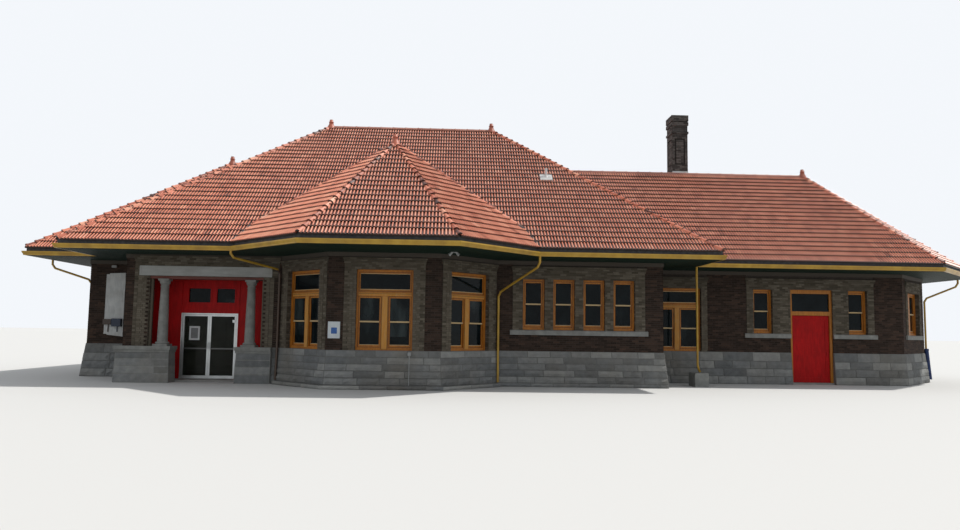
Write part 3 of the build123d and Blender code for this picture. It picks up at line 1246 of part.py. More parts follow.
with BuildPart() as downspouts:
    for (tx, ty), knee, (wx, wy), (fx, fy), reach in PIPES:
        pipe([(tx, ty, SOFFIT_LEVEL), (tx, ty, knee), (wx, wy, reach),
              (wx, wy, BOOT_TOP), (fx, fy, BOOT_END)])
    pipe([(X_SPOUT, Y_SPOUT, SOFFIT_LEVEL), (X_SPOUT, Y_SPOUT, SPOUT_KNEE),
          (X_SPOUT, Y_SPOUT - SPOUT_KICK, SPOUT_END)])

left_wing_base.part.label = "left_wing_base"
export_step(left_wing_base.part, "parts/left_wing_base.step")
porch_pedestals.part.label = "porch_pedestals"
export_step(porch_pedestals.part, "parts/porch_pedestals.step")
bay_base.part.label = "bay_base"
export_step(bay_base.part, "parts/bay_base.step")
main_front_base.part.label = "main_front_base"
export_step(main_front_base.part, "parts/main_front_base.step")
right_end_base.part.label = "right_end_base"
export_step(right_end_base.part, "parts/right_end_base.step")
right_wing_rear_base.part.label = "right_wing_rear_base"
export_step(right_wing_rear_base.part, "parts/right_wing_rear_base.step")
rear_base.part.label = "rear_base"
export_step(rear_base.part, "parts/rear_base.step")
left_wing_walls.part.label = "left_wing_walls"
export_step(left_wing_walls.part, "parts/left_wing_walls.step")
porch_wall.part.label = "porch_wall"
export_step(porch_wall.part, "parts/porch_wall.step")
bay_walls.part.label = "bay_walls"
export_step(bay_walls.part, "parts/bay_walls.step")
main_front_wall.part.label = "main_front_wall"
export_step(main_front_wall.part, "parts/main_front_wall.step")
right_wing_wall_left.part.label = "right_wing_wall_left"
export_step(right_wing_wall_left.part, "parts/right_wing_wall_left.step")
baggage_door_header.part.label = "baggage_door_header"
export_step(baggage_door_header.part, "parts/baggage_door_header.step")
right_wing_wall_right.part.label = "right_wing_wall_right"
export_step(right_wing_wall_right.part, "parts/right_wing_wall_right.step")
right_end_walls.part.label = "right_end_walls"
export_step(right_end_walls.part, "parts/right_end_walls.step")
right_wing_rear_wall.part.label = "right_wing_rear_wall"
export_step(right_wing_rear_wall.part, "parts/right_wing_rear_wall.step")
rear_walls.part.label = "rear_walls"
export_step(rear_walls.part, "parts/rear_walls.step")
floor_slab.part.label = "floor_slab"
export_step(floor_slab.part, "parts/floor_slab.step")
main_front_slope.part.label = "main_front_slope"
export_step(main_front_slope.part, "parts/main_front_slope.step")
main_rear_slope.part.label = "main_rear_slope"
export_step(main_rear_slope.part, "parts/main_rear_slope.step")
main_left_slope.part.label = "main_left_slope"
export_step(main_left_slope.part, "parts/main_left_slope.step")
main_right_slope.part.label = "main_right_slope"
export_step(main_right_slope.part, "parts/main_right_slope.step")
left_wing_roof.part.label = "left_wing_roof"
export_step(left_wing_roof.part, "parts/left_wing_roof.step")
right_wing_roof.part.label = "right_wing_roof"
export_step(right_wing_roof.part, "parts/right_wing_roof.step")
bay_roof.part.label = "bay_roof"
export_step(bay_roof.part, "parts/bay_roof.step")
front_soffit.part.label = "front_soffit"
export_step(front_soffit.part, "parts/front_soffit.step")
rear_soffit.part.label = "rear_soffit"
export_step(rear_soffit.part, "parts/rear_soffit.step")
front_gutter.part.label = "front_gutter"
export_step(front_gutter.part, "parts/front_gutter.step")
rear_gutter.part.label = "rear_gutter"
export_step(rear_gutter.part, "parts/rear_gutter.step")
chimney.part.label = "chimney"
export_step(chimney.part, "parts/chimney.step")
ridge_finials.part.label = "ridge_finials"
export_step(ridge_finials.part, "parts/ridge_finials.step")
roof_vent_pipe.part.label = "roof_vent_pipe"
export_step(roof_vent_pipe.part, "parts/roof_vent_pipe.step")
tall_window_frames.part.label = "tall_window_frames"
export_step(tall_window_frames.part, "parts/tall_window_frames.step")
small_window_frames.part.label = "small_window_frames"
export_step(small_window_frames.part, "parts/small_window_frames.step")
upper_sashes.part.label = "upper_sashes"
export_step(upper_sashes.part, "parts/upper_sashes.step")
lower_sashes.part.label = "lower_sashes"
export_step(lower_sashes.part, "parts/lower_sashes.step")
window_glass.part.label = "window_glass"
export_step(window_glass.part, "parts/window_glass.step")
buff_surrounds.part.label = "buff_surrounds"
export_step(buff_surrounds.part, "parts/buff_surrounds.step")
stone_sills.part.label = "stone_sills"
export_step(stone_sills.part, "parts/stone_sills.step")
porch_side_walls.part.label = "porch_side_walls"
export_step(porch_side_walls.part, "parts/porch_side_walls.step")
porch_ceiling.part.label = "porch_ceiling"
export_step(porch_ceiling.part, "parts/porch_ceiling.step")
porch_beam.part.label = "porch_beam"
export_step(porch_beam.part, "parts/porch_beam.step")
porch_lintel.part.label = "porch_lintel"
export_step(porch_lintel.part, "parts/porch_lintel.step")
porch_columns.part.label = "porch_columns"
export_step(porch_columns.part, "parts/porch_columns.step")
entry_screen.part.label = "entry_screen"
export_step(entry_screen.part, "parts/entry_screen.step")
entry_top_lights.part.label = "entry_top_lights"
export_step(entry_top_lights.part, "parts/entry_top_lights.step")
entry_door_frame.part.label = "entry_door_frame"
export_step(entry_door_frame.part, "parts/entry_door_frame.step")
entry_left_leaf.part.label = "entry_left_leaf"
export_step(entry_left_leaf.part, "parts/entry_left_leaf.step")
entry_right_leaf.part.label = "entry_right_leaf"
export_step(entry_right_leaf.part, "parts/entry_right_leaf.step")
entry_left_glass.part.label = "entry_left_glass"
export_step(entry_left_glass.part, "parts/entry_left_glass.step")
entry_right_glass.part.label = "entry_right_glass"
export_step(entry_right_glass.part, "parts/entry_right_glass.step")
baggage_door_frame.part.label = "baggage_door_frame"
export_step(baggage_door_frame.part, "parts/baggage_door_frame.step")
baggage_top_light.part.label = "baggage_top_light"
export_step(baggage_top_light.part, "parts/baggage_top_light.step")
baggage_door.part.label = "baggage_door"
export_step(baggage_door.part, "parts/baggage_door.step")
wall_notice_board.part.label = "wall_notice_board"
export_step(wall_notice_board.part, "parts/wall_notice_board.step")
wall_fittings.part.label = "wall_fittings"
export_step(wall_fittings.part, "parts/wall_fittings.step")
access_sign_plate.part.label = "access_sign_plate"
export_step(access_sign_plate.part, "parts/access_sign_plate.step")
bay_floodlight.part.label = "bay_floodlight"
export_step(bay_floodlight.part, "parts/bay_floodlight.step")
downspout_block.part.label = "downspout_block"
export_step(downspout_block.part, "parts/downspout_block.step")
downspouts.part.label = "downspouts"
export_step(downspouts.part, "parts/downspouts.step")
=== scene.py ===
"""Looks for the railway station building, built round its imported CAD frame. Lengths are in metres."""

import bpy
import numpy as np
from mathutils import Matrix, Vector


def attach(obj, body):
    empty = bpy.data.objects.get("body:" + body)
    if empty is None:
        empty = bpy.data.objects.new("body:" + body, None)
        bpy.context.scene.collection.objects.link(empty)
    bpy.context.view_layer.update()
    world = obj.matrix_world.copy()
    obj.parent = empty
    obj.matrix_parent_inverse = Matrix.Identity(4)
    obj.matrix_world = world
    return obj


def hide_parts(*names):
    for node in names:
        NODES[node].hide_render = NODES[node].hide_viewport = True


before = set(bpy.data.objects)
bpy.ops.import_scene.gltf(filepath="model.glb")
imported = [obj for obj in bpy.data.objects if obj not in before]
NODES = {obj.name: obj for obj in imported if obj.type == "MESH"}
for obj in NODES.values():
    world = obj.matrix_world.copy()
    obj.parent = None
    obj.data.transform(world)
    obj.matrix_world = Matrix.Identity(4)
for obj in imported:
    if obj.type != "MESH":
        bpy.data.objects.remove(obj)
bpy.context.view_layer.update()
RANDOM = np.random.default_rng(1909)

# Wall corners in plan, anticlockwise from the left wing's front, and the tile edge at the eaves
OUTLINE = [
    (-16.247, -1.6185), (-13.801, -1.6185), (-13.801, -4.3475), (-8.723, -4.3475), (-6.873, -6.1975),
    (-3.393, -6.1975), (-1.543, -4.3475), (4.082, -4.3475), (4.082, -1.6185), (14.047, -1.6185),
    (16.247, 0.5815), (16.247, 3.7795), (14.047, 5.9795), (4.082, 5.9795), (4.082, 6.8805),
    (-13.801, 6.8805), (-13.801, 5.9795), (-16.247, 5.9795),
]
TILE_EDGE = [
    (-17.761, -3.1325), (-15.315, -3.1325), (-15.315, -5.8615), (-9.9314, -5.8615), (-7.3984, -8.3945),
    (-2.8676, -8.3945), (-0.3346, -5.8615), (5.596, -5.8615), (5.596, -3.1325), (14.6741, -3.1325),
    (17.761, -0.0456), (17.761, 4.4066), (14.6741, 7.4935), (5.596, 7.4935), (5.596, 8.3945),
    (-15.315, 8.3945), (-15.315, 7.4935), (-17.761, 7.4935),
]
SIDES = len(OUTLINE)
BASE_TOP = 1.176
BASE_BATTER = 0.14
BASE_LIP = 0.025
SOFFIT = 4.2
WALL_TOP = 4.06
TILE_LEVEL = 4.489
MAIN_RIDGE = 10.142
WING_RIDGE = 8.702
BAY_RIDGE = 8.319
PITCH = 0.793
RIDGE_LEFT = (-8.187, 1.2665, MAIN_RIDGE)
RIDGE_RIGHT = (-1.532, 1.2665, MAIN_RIDGE)
LEFT_TIP = (-12.448, 2.1805, WING_RIDGE)
LEFT_MEET = (-10.002, 2.1805, WING_RIDGE)
RIGHT_MEET = (0.283, 2.1805, WING_RIDGE)
RIGHT_TIP = (12.1197, 2.1805, WING_RIDGE)
APEX = (-5.133, -3.5645, BAY_RIDGE)
APEX_BACK = (-5.133, -1.0315, BAY_RIDGE)
VALLEY_LEFT = (-9.5363, -5.0294, 5.149)
VALLEY_RIGHT = (-0.7297, -5.0294, 5.149)

# Windows: wall side, start along it, width, bottom, top
TALL_WIDTH = 1.76
SMALL_WIDTH = 0.74
PAIR_WIDTH = 1.75
SMALL_BOTTOM = 1.88
BAY_TOP = 3.68
FRONT_TOP = 3.6
WING_TOP = 3.54
BAY_SLANT = 2.6163
BAY_CORNER = (BAY_SLANT - TALL_WIDTH) / 2
TALL_WINDOWS = [
    (3, BAY_CORNER, TALL_WIDTH, BASE_TOP, BAY_TOP), (4, 0.86, TALL_WIDTH, BASE_TOP, BAY_TOP),
    (5, BAY_CORNER, TALL_WIDTH, BASE_TOP, BAY_TOP), (8, 0.461, TALL_WIDTH, BASE_TOP, WING_TOP),
]
FRONT_START = 0.87
FRONT_STEP = 1.02
FRONT_WINDOWS = [(6, FRONT_START + FRONT_STEP * k, SMALL_WIDTH, SMALL_BOTTOM, FRONT_TOP) for k in range(4)]
WING_WINDOWS = [(8, start, SMALL_WIDTH, SMALL_BOTTOM, WING_TOP) for start in (4.205, 7.851)]
BAGGAGE = (8, 5.621, 1.63, 0.0, 3.55)
PORCH = (2, 0.784, 3.72, BASE_TOP, 3.49)


def side(i):
    """Start, direction, outward normal and length of a wall side."""
    a = np.array(OUTLINE[i])
    b = np.array(OUTLINE[(i + 1) % SIDES])
    length = float(np.hypot(*(b - a)))
    along = (b - a) / length
    return a, along, np.array((along[1], -along[0])), length


def spread_pairs(i, count, top):
    """Paired windows spread evenly along a wall side."""
    length = side(i)[3]
    middles = [length * (2 * k + 1) / (2 * count) for k in range(count)]
    return [(i, middle - PAIR_WIDTH / 2, PAIR_WIDTH, SMALL_BOTTOM, top) for middle in middles]


PAIR_WINDOWS = []
for number, count in ((9, 1), (10, 1), (11, 1), (12, 2), (14, 4), (17, 2)):
    PAIR_WINDOWS += spread_pairs(number, count, FRONT_TOP if number == 14 else WING_TOP)
WINDOWS = TALL_WINDOWS + FRONT_WINDOWS + WING_WINDOWS + PAIR_WINDOWS
OPENINGS = WINDOWS + [BAGGAGE, PORCH]

# Plate that lies on the brickwork: wall side, left, right, bottom, top
SIGN = (4, 0.03, 0.40, 1.53, 2.04)

# Meshes
LEAST_AREA = 4e-6
UP = np.array((0.0, 0.0, 1.0))


class Shell:
    """Quads gathered into one object, with a tone from 0 to 1 for each face."""

    def __init__(self):
        self.points, self.faces, self.tones, self.count = [], [], [], 0

    def add(self, points, faces, tones):
        points = np.asarray(points, float).reshape(-1, 3)
        faces = np.asarray(faces, int).reshape(-1, 4)
        self.points.append(points)
        self.faces.append(faces + self.count)
        self.tones.append(np.broadcast_to(np.asarray(tones, float), (len(faces),)))
        self.count += len(points)

    def make(self, name, material, slot, body="building"):
        points = np.concatenate(self.points)
        faces = np.concatenate(self.faces)
        tones = np.concatenate(self.tones)
        corner = points[faces]
        area = np.linalg.norm(np.cross(corner[:, 2] - corner[:, 0], corner[:, 3] - corner[:, 1]), axis=1)
        faces, tones = faces[area > LEAST_AREA], tones[area > LEAST_AREA]
        mesh = bpy.data.meshes.new(name)
        mesh.from_pydata(points.tolist(), [], faces.tolist())
        mesh.validate()
        tone = mesh.attributes.new("tone", "FLOAT", "FACE")
        if len(tone.data) == len(tones):
            tone.data.foreach_set("value", tones.astype(np.float32))
        mesh.update()
        mesh.materials.append(material)
        piece = bpy.data.objects.new(name, mesh)
        bpy.context.scene.collection.objects.link(piece)
        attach(piece, body)
        return piece


BOX_POINTS = np.array([
    (0, 0, 0), (1, 0, 0), (1, 1, 0), (0, 1, 0), (0, 0, 1), (1, 0, 1), (1, 1, 1), (0, 1, 1),
], float)
BOX_FACES = np.array([(4, 5, 6, 7), (0, 4, 7, 3), (5, 1, 2, 6), (7, 6, 2, 3), (0, 1, 5, 4)])


def add_boxes(shell, plane, boxes, tones=0.5):
    """Boxes without a back on a plane: its origin, and its directions along, up and out.

    Each row is start, end, bottom, top, back and front.
    """
    boxes = np.asarray(boxes, float).reshape(-1, 6)
    if not len(boxes):
        return
    origin, *axes = plane
    low = boxes[:, (0, 2, 4)][:, None, :]
    high = boxes[:, (1, 3, 5)][:, None, :]
    local = low + (high - low) * BOX_POINTS[None]
    points = np.asarray(origin, float) + local @ np.array(axes, float)
    faces = BOX_FACES[None] + 8 * np.arange(len(boxes))[:, None, None]
    shell.add(points, faces, np.repeat(np.broadcast_to(tones, (len(boxes),)), len(BOX_FACES)))


def boxes_on(plane, boxes, tones=0.5):
    """Boxes on a plane, as a shell of their own."""
    shell = Shell()
    add_boxes(shell, plane, boxes, tones)
    return shell


def border(left, right, low, high, wide, *depth):
    """Four strips inside the edges of a rectangle, as rows for add_boxes."""
    return [
        (left, left + wide, low, high, *depth), (right - wide, right, low, high, *depth),
        (left, right, high - wide, high, *depth), (left, right, low, low + wide, *depth),
    ]


def grid_faces(rows, columns):
    """Quads between the points of a grid that is numbered row by row."""
    index = np.arange(rows * columns).reshape(rows, columns)
    return np.stack([index[:-1, :-1], index[:-1, 1:], index[1:, 1:], index[1:, :-1]], -1).reshape(-1, 4)


def ring_faces(rings, n):
    """Quads between closed rings of n points each."""
    return [
        (k * n + j, k * n + (j + 1) % n, (k + 1) * n + (j + 1) % n, (k + 1) * n + j)
        for k in range(rings - 1) for j in range(n)
    ]


def wall_plane(i):
    """Origin and directions of a wall side's outer face."""
    a, along, out, _ = side(i)
    return np.array((*a, 0)), np.array((*along, 0)), UP, np.array((*out, 0))


# Brickwork
BRICK = 0.203
BRICK_HIGH = 0.0577
JOINT = 0.01
COURSE = BRICK_HIGH + JOINT
FACE = 0.006
LEAST_RUN = 0.02
LEAST_HEIGHT = 0.015
TOOTH_NEAR = 0.03
TOOTH_PROUD = 0.012


def free_runs(start, end, blocked):
    """What is left of an interval once the blocked ones are taken out."""
    runs = [(start, end)]
    for low, high in blocked:
        parts = [part for a, b in runs for part in ((a, min(b, low)), (max(a, high), b))]
        runs = [part for part in parts if part[1] - part[0] > LEAST_RUN]
    return runs


def lay_bricks(shell, plane, rect, holes=(), back=0.0, toothed=(), first=0):
    """Stretcher bond over a rectangle, cut at the holes. Every other course stands out at toothed edges."""
    left, right, bottom, top = rect
    step = BRICK + JOINT
    rows = []
    for k in range(int(np.ceil((top - bottom) / COURSE))):
        low = bottom + k * COURSE
        high = min(low + BRICK_HIGH, top)
        if high - low < LEAST_HEIGHT:
            continue
        middle = (low + high) / 2
        odd = (k + first) % 2
        for a, b in free_runs(left, right, [hole[:2] for hole in holes if hole[2] < middle < hole[3]]):
            n = int((a - left) // step) - 1
            position = left + n * step - (step / 2 if odd else 0)
            while position < b:
                start, end = max(position, a), min(position + BRICK, b)
                if end - start > LEAST_RUN:
                    near = any(min(abs(start - edge), abs(end - edge)) < TOOTH_NEAR for edge in toothed)
                    proud = FACE + (TOOTH_PROUD if near and odd else 0)
                    rows.append((start, end, low, high, back, back + proud))
                position += step
    add_boxes(shell, plane, rows, RANDOM.random(len(rows)))


# Buff surrounds: margins beside the openings, levels of their heads, and the courses that step forward there
BAY_MARGIN = 0.37
TALL_MARGIN = 0.23
FRONT_MARGIN = 0.34
WING_MARGIN = 0.255
BAY_HEAD = 4.04
FRONT_HEAD = 4.01
WING_HEAD = 3.955
PORCH_HEAD = 4.15
BUFF_PROUD = 0.02
HEAD_COURSES = 3
HEAD_COURSE = 0.062
HEAD_STEP = 0.018
HEAD_GAP = 0.014
HEAD_CLEAR = 0.2


def surround(windows, margin, bottom, top, more=()):
    """Wall side, left, right, bottom, top and holes of the buff brick round a row of windows."""
    number, left = windows[0][:2]
    holes = [(start, start + width, low, high) for _, start, width, low, high in [*windows, *more]]
    return number, left - margin, windows[-1][1] + windows[-1][2] + margin, bottom, top, holes


SURROUNDS = [
    *(surround([window], BAY_MARGIN, BASE_TOP, BAY_HEAD) for window in TALL_WINDOWS[:3]),
    surround(TALL_WINDOWS[3:], TALL_MARGIN, BASE_TOP, WING_HEAD),
    surround(FRONT_WINDOWS, FRONT_MARGIN, SMALL_BOTTOM, FRONT_HEAD),
    surround(WING_WINDOWS, WING_MARGIN, SMALL_BOTTOM, WING_HEAD, [BAGGAGE]),
    *(surround([window], WING_MARGIN, SMALL_BOTTOM, WING_HEAD) for window in PAIR_WINDOWS),
    (2, 0.284, 4.994, BASE_TOP, PORCH_HEAD, [(0.784, 4.504, BASE_TOP, 3.49)]),
]


def brown_walls():
    """Brown bricks over every wall side, between the stone base and the eaves, clear of the buff ones."""
    shell = Shell()
    for i in range(SIDES):
        holes = [(s[1], s[2], s[3], s[4] + HEAD_CLEAR) for s in SURROUNDS if s[0] == i]
        holes += [(o[1], o[1] + o[2], o[3], o[4]) for o in OPENINGS if o[0] == i]
        if i == SIGN[0]:
            holes.append(SIGN[1:])
        lay_bricks(shell, wall_plane(i), (-FACE, side(i)[3] + FACE, BASE_TOP, WALL_TOP), holes, first=i)
    return shell


def buff_walls():
    """Buff bricks over the surrounds, with courses at their heads that step forward."""
    shell = Shell()
    for i, left, right, bottom, top, holes in SURROUNDS:
        plane = wall_plane(i)
        head = top - HEAD_COURSES * HEAD_COURSE
        edges = [edge for hole in holes for edge in hole[:2]]
        lay_bricks(shell, plane, (left, right, bottom, head), holes, BUFF_PROUD, edges)
        for k in range(HEAD_COURSES):
            reach = (k + 1) * HEAD_STEP
            low = head + k * HEAD_COURSE
            rect = (left - reach, right + reach, low, low + HEAD_COURSE - HEAD_GAP)
            lay_bricks(shell, plane, rect, (), BUFF_PROUD + reach, first=k)
    return shell


# Depths of the returns
REVEAL = 0.12
REVEAL_PORCH = 0.38
REVEAL_BAGGAGE = 0.05

# Toothed strips beside the tall windows, and piers, slots and beads beside the porch
STRIP = 0.19
STRIP_FACE = 0.016
TOOTH = 0.034
TOOTH_FACE = 0.008
PIER_LEFT = 0.424
PIER_RIGHT = 4.854
PIER_FLANK = (4.862, 4.990)
PIER_TOOTH = 0.060
PIER_PROUD = 0.038
SLOT = 0.095
SLOT_EDGE = 0.003
JAMB_BEAD = 0.07
BEAD_BACK = 0.10


def toothed_strips():
    """Raised strips of buff brick beside the openings, whose outer edge is toothed."""
    shell = Shell()
    strips = []
    for i, start, width, bottom, top in TALL_WINDOWS:
        strips.append((i, start - STRIP, start, bottom, top, -1, BUFF_PROUD, TOOTH))
        strips.append((i, start + width, start + width + STRIP, bottom, top, 1, BUFF_PROUD, TOOTH))
    i, start, width, bottom, top = PORCH
    strips.append((i, PIER_LEFT, start - SLOT, bottom, top, 1, PIER_PROUD, PIER_TOOTH))
    strips.append((i, start + width + SLOT, PIER_RIGHT, bottom, top, -1, PIER_PROUD, PIER_TOOTH))
    for i, left, right, bottom, top, outer, proud, tooth in strips:
        rows = []
        for k in range(int((top - bottom) / COURSE)):
            odd = k % 2
            low = bottom + k * COURSE
            start, end = (left, right + tooth * odd) if outer > 0 else (left - tooth * odd, right)
            middle = start + (end - start) * (0.55 if odd else 0.45)
            front = proud + STRIP_FACE + TOOTH_FACE * odd
            for a, b in ((start, middle - JOINT / 2), (middle + JOINT / 2, end)):
                rows.append((a, b, low, low + BRICK_HIGH, BUFF_PROUD, front))
        # Strip bricks take the upper half of the tones: painted highlight on the proud brick
        add_boxes(shell, wall_plane(i), rows, RANDOM.random(len(rows)) * 0.5 + 0.5)
    return shell


def jamb_beads():
    """Square beads up the porch's brick returns."""
    number, start, width, bottom, top = PORCH
    end = start + width
    return boxes_on(wall_plane(number), [
        (a, b, bottom, top, -BEAD_BACK - JAMB_BEAD, -BEAD_BACK)
        for a, b in ((start, start + JAMB_BEAD), (end - JAMB_BEAD, end))
    ], 0.9)


def pier_shade_bricks(shell):
    """Dark brown bricks as painted shade in the slots behind the teeth and on the pier's shaded flank."""
    number, start, width, bottom, top = PORCH
    end = start + width
    for left, right in ((start - SLOT, start - SLOT_EDGE), (end + SLOT_EDGE, end + SLOT), PIER_FLANK):
        lay_bricks(shell, wall_plane(number), (left, right, bottom, top), (), BUFF_PROUD + FACE)


def reveal_bricks(shell):
    """Bricks on the returns of the openings, back to the window frames."""
    front = BUFF_PROUD + FACE
    for opening in OPENINGS:
        i, start, width, bottom, top = opening
        origin, along, up, out = wall_plane(i)
        deep = REVEAL
        if opening is PORCH:
            deep = REVEAL_PORCH
        elif opening is BAGGAGE:
            bottom, deep = SMALL_BOTTOM, REVEAL_BAGGAGE
        end = start + width
        rect = (0, deep + front, bottom, top)
        lay_bricks(shell, (origin + along * start + out * front, -out, up, along), rect)
        lay_bricks(shell, (origin + along * end + out * front - out * (deep + front), out, up, -along), rect)
        rows = []
        position = start
        while position < end - 0.03:
            rows.append((position, min(position + BRICK_HIGH, end), -deep, front, 0, FACE))
            position += COURSE
        add_boxes(shell, (origin + UP * top, along, out, -UP), rows, RANDOM.random(len(rows)))


# Rock-faced stone
BLOCK_LENGTHS = (0.55, 1.15)
STONE_CELL = 0.11
STONE_EDGE = 0.018
STONE_JOINT = 0.003


def mitre(i, distance, level):
    """Wall corner moved outward by a distance."""
    before, after = side((i - 1) % SIDES)[2], side(i)[2]
    corner = np.array(OUTLINE[i]) + (before + after) / (1 + before @ after) * distance
    return np.array((*corner, level))


def base_reach(level):
    """How far the battered stone face stands out from the wall at a height."""
    return BASE_BATTER - (BASE_BATTER - BASE_LIP) * level / BASE_TOP


def base_point(i, where, level):
    """Point of a base side: at its start or end corner, or at a distance along the wall."""
    reach = base_reach(level)
    if where in ("start", "end"):
        return mitre(i if where == "start" else (i + 1) % SIDES, reach, level)
    origin, along, up, out = wall_plane(i)
    return origin + along * where + out * reach + up * level


def stone_cuts(size):
    """Shares of a block's width or height where its face is divided, with a narrow strip at each end."""
    cells = max(2, int(size / STONE_CELL))
    strip = STONE_EDGE / size
    return np.concatenate([[0, strip], np.linspace(0, 1, cells + 1)[1:-1], [1 - strip, 1]])


def stone_block(shell, corners, normal, rough, tone):
    """Block over four corners whose face bulges and is broken into facets."""
    bl, br, tr, tl = corners
    wide = np.linalg.norm(br - bl)
    high = np.linalg.norm(tl - bl)
    uu, vv = np.meshgrid(stone_cuts(wide), stone_cuts(high))
    flat = (
        bl * ((1 - uu) * (1 - vv))[..., None] + br * (uu * (1 - vv))[..., None]
        + tr * (uu * vv)[..., None] + tl * ((1 - uu) * vv)[..., None]
    )
    rise = rough * (0.45 + RANDOM.random(uu.shape))
    edge = np.minimum(np.minimum(uu * wide, (1 - uu) * wide), np.minimum(vv * high, (1 - vv) * high))
    rise = np.where(edge < 1e-6, -0.008, np.where(edge < 0.03, 0.35 * rise + 0.003, rise + 0.004))
    points = flat + normal * rise[..., None]
    shell.add(points.reshape(-1, 3), grid_faces(*uu.shape), tone)


def stone_wall(shell, ends, levels, roughness, lengths=BLOCK_LENGTHS, spread=1.0):
    """Courses of blocks between two edges: ends(level) gives the point of each at a height."""
    def point(t, level):
        first, last = ends(level)
        return first * (1 - t) + last * t

    shortest, longest = lengths
    for low, high, rough in zip(levels[:-1], levels[1:], roughness):
        width = np.linalg.norm(point(1, low) - point(0, low))
        if width < 0.05:
            continue
        cuts = [0.0]
        while cuts[-1] < width:
            cuts.append(cuts[-1] + RANDOM.uniform(shortest, longest))
        if len(cuts) > 2 and width - cuts[-2] < 0.45 * shortest:
            cuts.pop(-2)
        cuts[-1] = width
        bottom, top = low + STONE_JOINT, high - STONE_JOINT
        for a, b in zip(cuts[:-1], cuts[1:]):
            s, e = (a + STONE_JOINT) / width, (b - STONE_JOINT) / width
            corners = [point(s, bottom), point(e, bottom), point(e, top), point(s, top)]
            normal = np.cross(corners[1] - corners[0], corners[3] - corners[0])
            tone = 0.5 + spread * (RANDOM.random() - 0.5)
            stone_block(shell, corners, normal / np.linalg.norm(normal), rough, tone)


# Courses of the base as levels and roughness, the bay's footing, and runs of the base between its gaps
WING_COURSES = ([0.0, 0.28, 0.56, 0.84, BASE_TOP], [0.042, 0.042, 0.036, 0.012])
BAY_COURSES = ([0.0, 0.12, 0.33, 0.545, 0.755, 0.965, BASE_TOP], [0.02, 0.042, 0.042, 0.034, 0.022, 0.012])
FOOTING_LEVELS = [0.0, 0.12]
FOOTING_TOP = 0.112
FOOTING_REACH = BASE_BATTER + 0.18
BASE_RUNS = [(i, "start", "end") for i in range(SIDES) if i not in (2, 8)]
BASE_RUNS += [(2, PIER_RIGHT, "end"), (8, "start", BAGGAGE[1]), (8, BAGGAGE[1] + BAGGAGE[2], "end")]


def base_stones():
    """Rock-faced courses all round the base, and the footing round the bay."""
    shell = Shell()
    for i, start, end in BASE_RUNS:
        levels, rough = BAY_COURSES if i in (3, 4, 5, 6) else WING_COURSES
        stone_wall(
            shell, lambda level: [base_point(i, where, level) for where in (start, end)],
            levels, rough, spread=0.45)
    for i in (3, 4, 5):
        stone_wall(
            shell, lambda level: [mitre(k, FOOTING_REACH, min(level, FOOTING_TOP)) for k in (i, i + 1)],
            FOOTING_LEVELS, [0.014], (0.6, 1.3), 0.8)
    return shell


# Pedestals: start and end along the porch's side, and whether the end stands free
PEDESTALS = ((-0.14, 1.564, True), (3.734, 4.854, False))
PEDESTAL_TOP = 0.981
PEDESTAL_LEVELS = [0.0, 0.29, 0.53, 0.76, PEDESTAL_TOP]
PEDESTAL_BATTER = 0.035
PEDESTAL_FRONT = 0.2
PEDESTAL_BACK = -0.38


def pedestal_stones():
    """Rock-faced courses on the pedestals beside the porch."""
    shell = Shell()
    origin, along, up, out = wall_plane(2)
    for start, end, free in PEDESTALS:
        def corner(which, level):
            grow = PEDESTAL_BATTER * (1 - level / PEDESTAL_TOP)
            u = start - grow if which in (0, 3) else end + free * grow
            d = PEDESTAL_FRONT + grow if which in (0, 1) else PEDESTAL_BACK
            return origin + along * u + out * d + up * level

        for p, q in ((0, 1), (3, 0), (1, 2)) if free else ((0, 1), (3, 0)):
            stone_wall(shell, lambda level: (corner(p, level), corner(q, level)), PEDESTAL_LEVELS,
                       [0.003] * 4, (0.7, 1.3), 0.35)
    return shell


# Roof tiles
TILE_WIDTH = 0.205
TILE_COURSE = 0.32
RIB = np.array([0.0, 0.09, 0.27, 0.45, 0.54])
RIB_HEIGHT = np.array([0.0, 0.026, 0.038, 0.026, 0.0])
# Tone across a rib: pans darker as painted shade and grime, crests lighter as painted highlight
RIB_SHADE_HIGHLIGHT_GRIME = np.array([-0.14, 0.12, 0.12, -0.14, -0.42])
TILE_LIFT = 0.046
EAVE_OVERHANG = 0.070
TILE_LAP = 0.02
TILE_SLIP = 0.004


def slope_planes(node):
    """The upper faces of a roof node, grouped by slope: normal and triangles."""
    mesh = NODES[node].data
    mesh.calc_loop_triangles()
    groups = []
    for triangle in mesh.loop_triangles:
        normal = np.array(triangle.normal)
        if normal[2] < 0.3:
            continue
        points = np.array([mesh.vertices[k].co for k in triangle.vertices], float)
        for group in groups:
            if group[0] @ normal > 0.9995:
                group[1].append(points)
                break
        else:
            groups.append((normal, [points]))
    return groups


def cut_at(triangles, v):
    """Intervals of u where a line of constant v crosses the triangles."""
    spans = []
    for t in triangles:
        hits = []
        for p, q in ((t[0], t[1]), (t[1], t[2]), (t[2], t[0])):
            if (p[1] - v) * (q[1] - v) <= 0 and abs(p[1] - q[1]) > 1e-9:
                hits.append(p[0] + (q[0] - p[0]) * (v - p[1]) / (q[1] - p[1]))
        if len(hits) > 1:
            spans.append((min(hits), max(hits)))
    merged = []
    for low, high in sorted(spans):
        if merged and low < merged[-1][1] + 0.01:
            merged[-1][1] = max(merged[-1][1], high)
        else:
            merged.append([low, high])
    return [span for span in merged if span[1] - span[0] > 0.02]


def spans_for(spans, wanted, middles):
    """Both ends of the span nearest to each tile's middle, or of the wanted one where none is near."""
    ends = np.tile(np.array(wanted, float), (len(middles), 1))
    if spans:
        spans = np.array(spans)
        away = np.maximum(spans[None, :, 0] - middles[:, None], middles[:, None] - spans[None, :, 1])
        best = np.argmin(away, axis=1)
        near = away[np.arange(len(middles)), best] < 2 * TILE_WIDTH
        ends[near] = spans[best[near]]
    return ends[:, :1], ends[:, 1:]


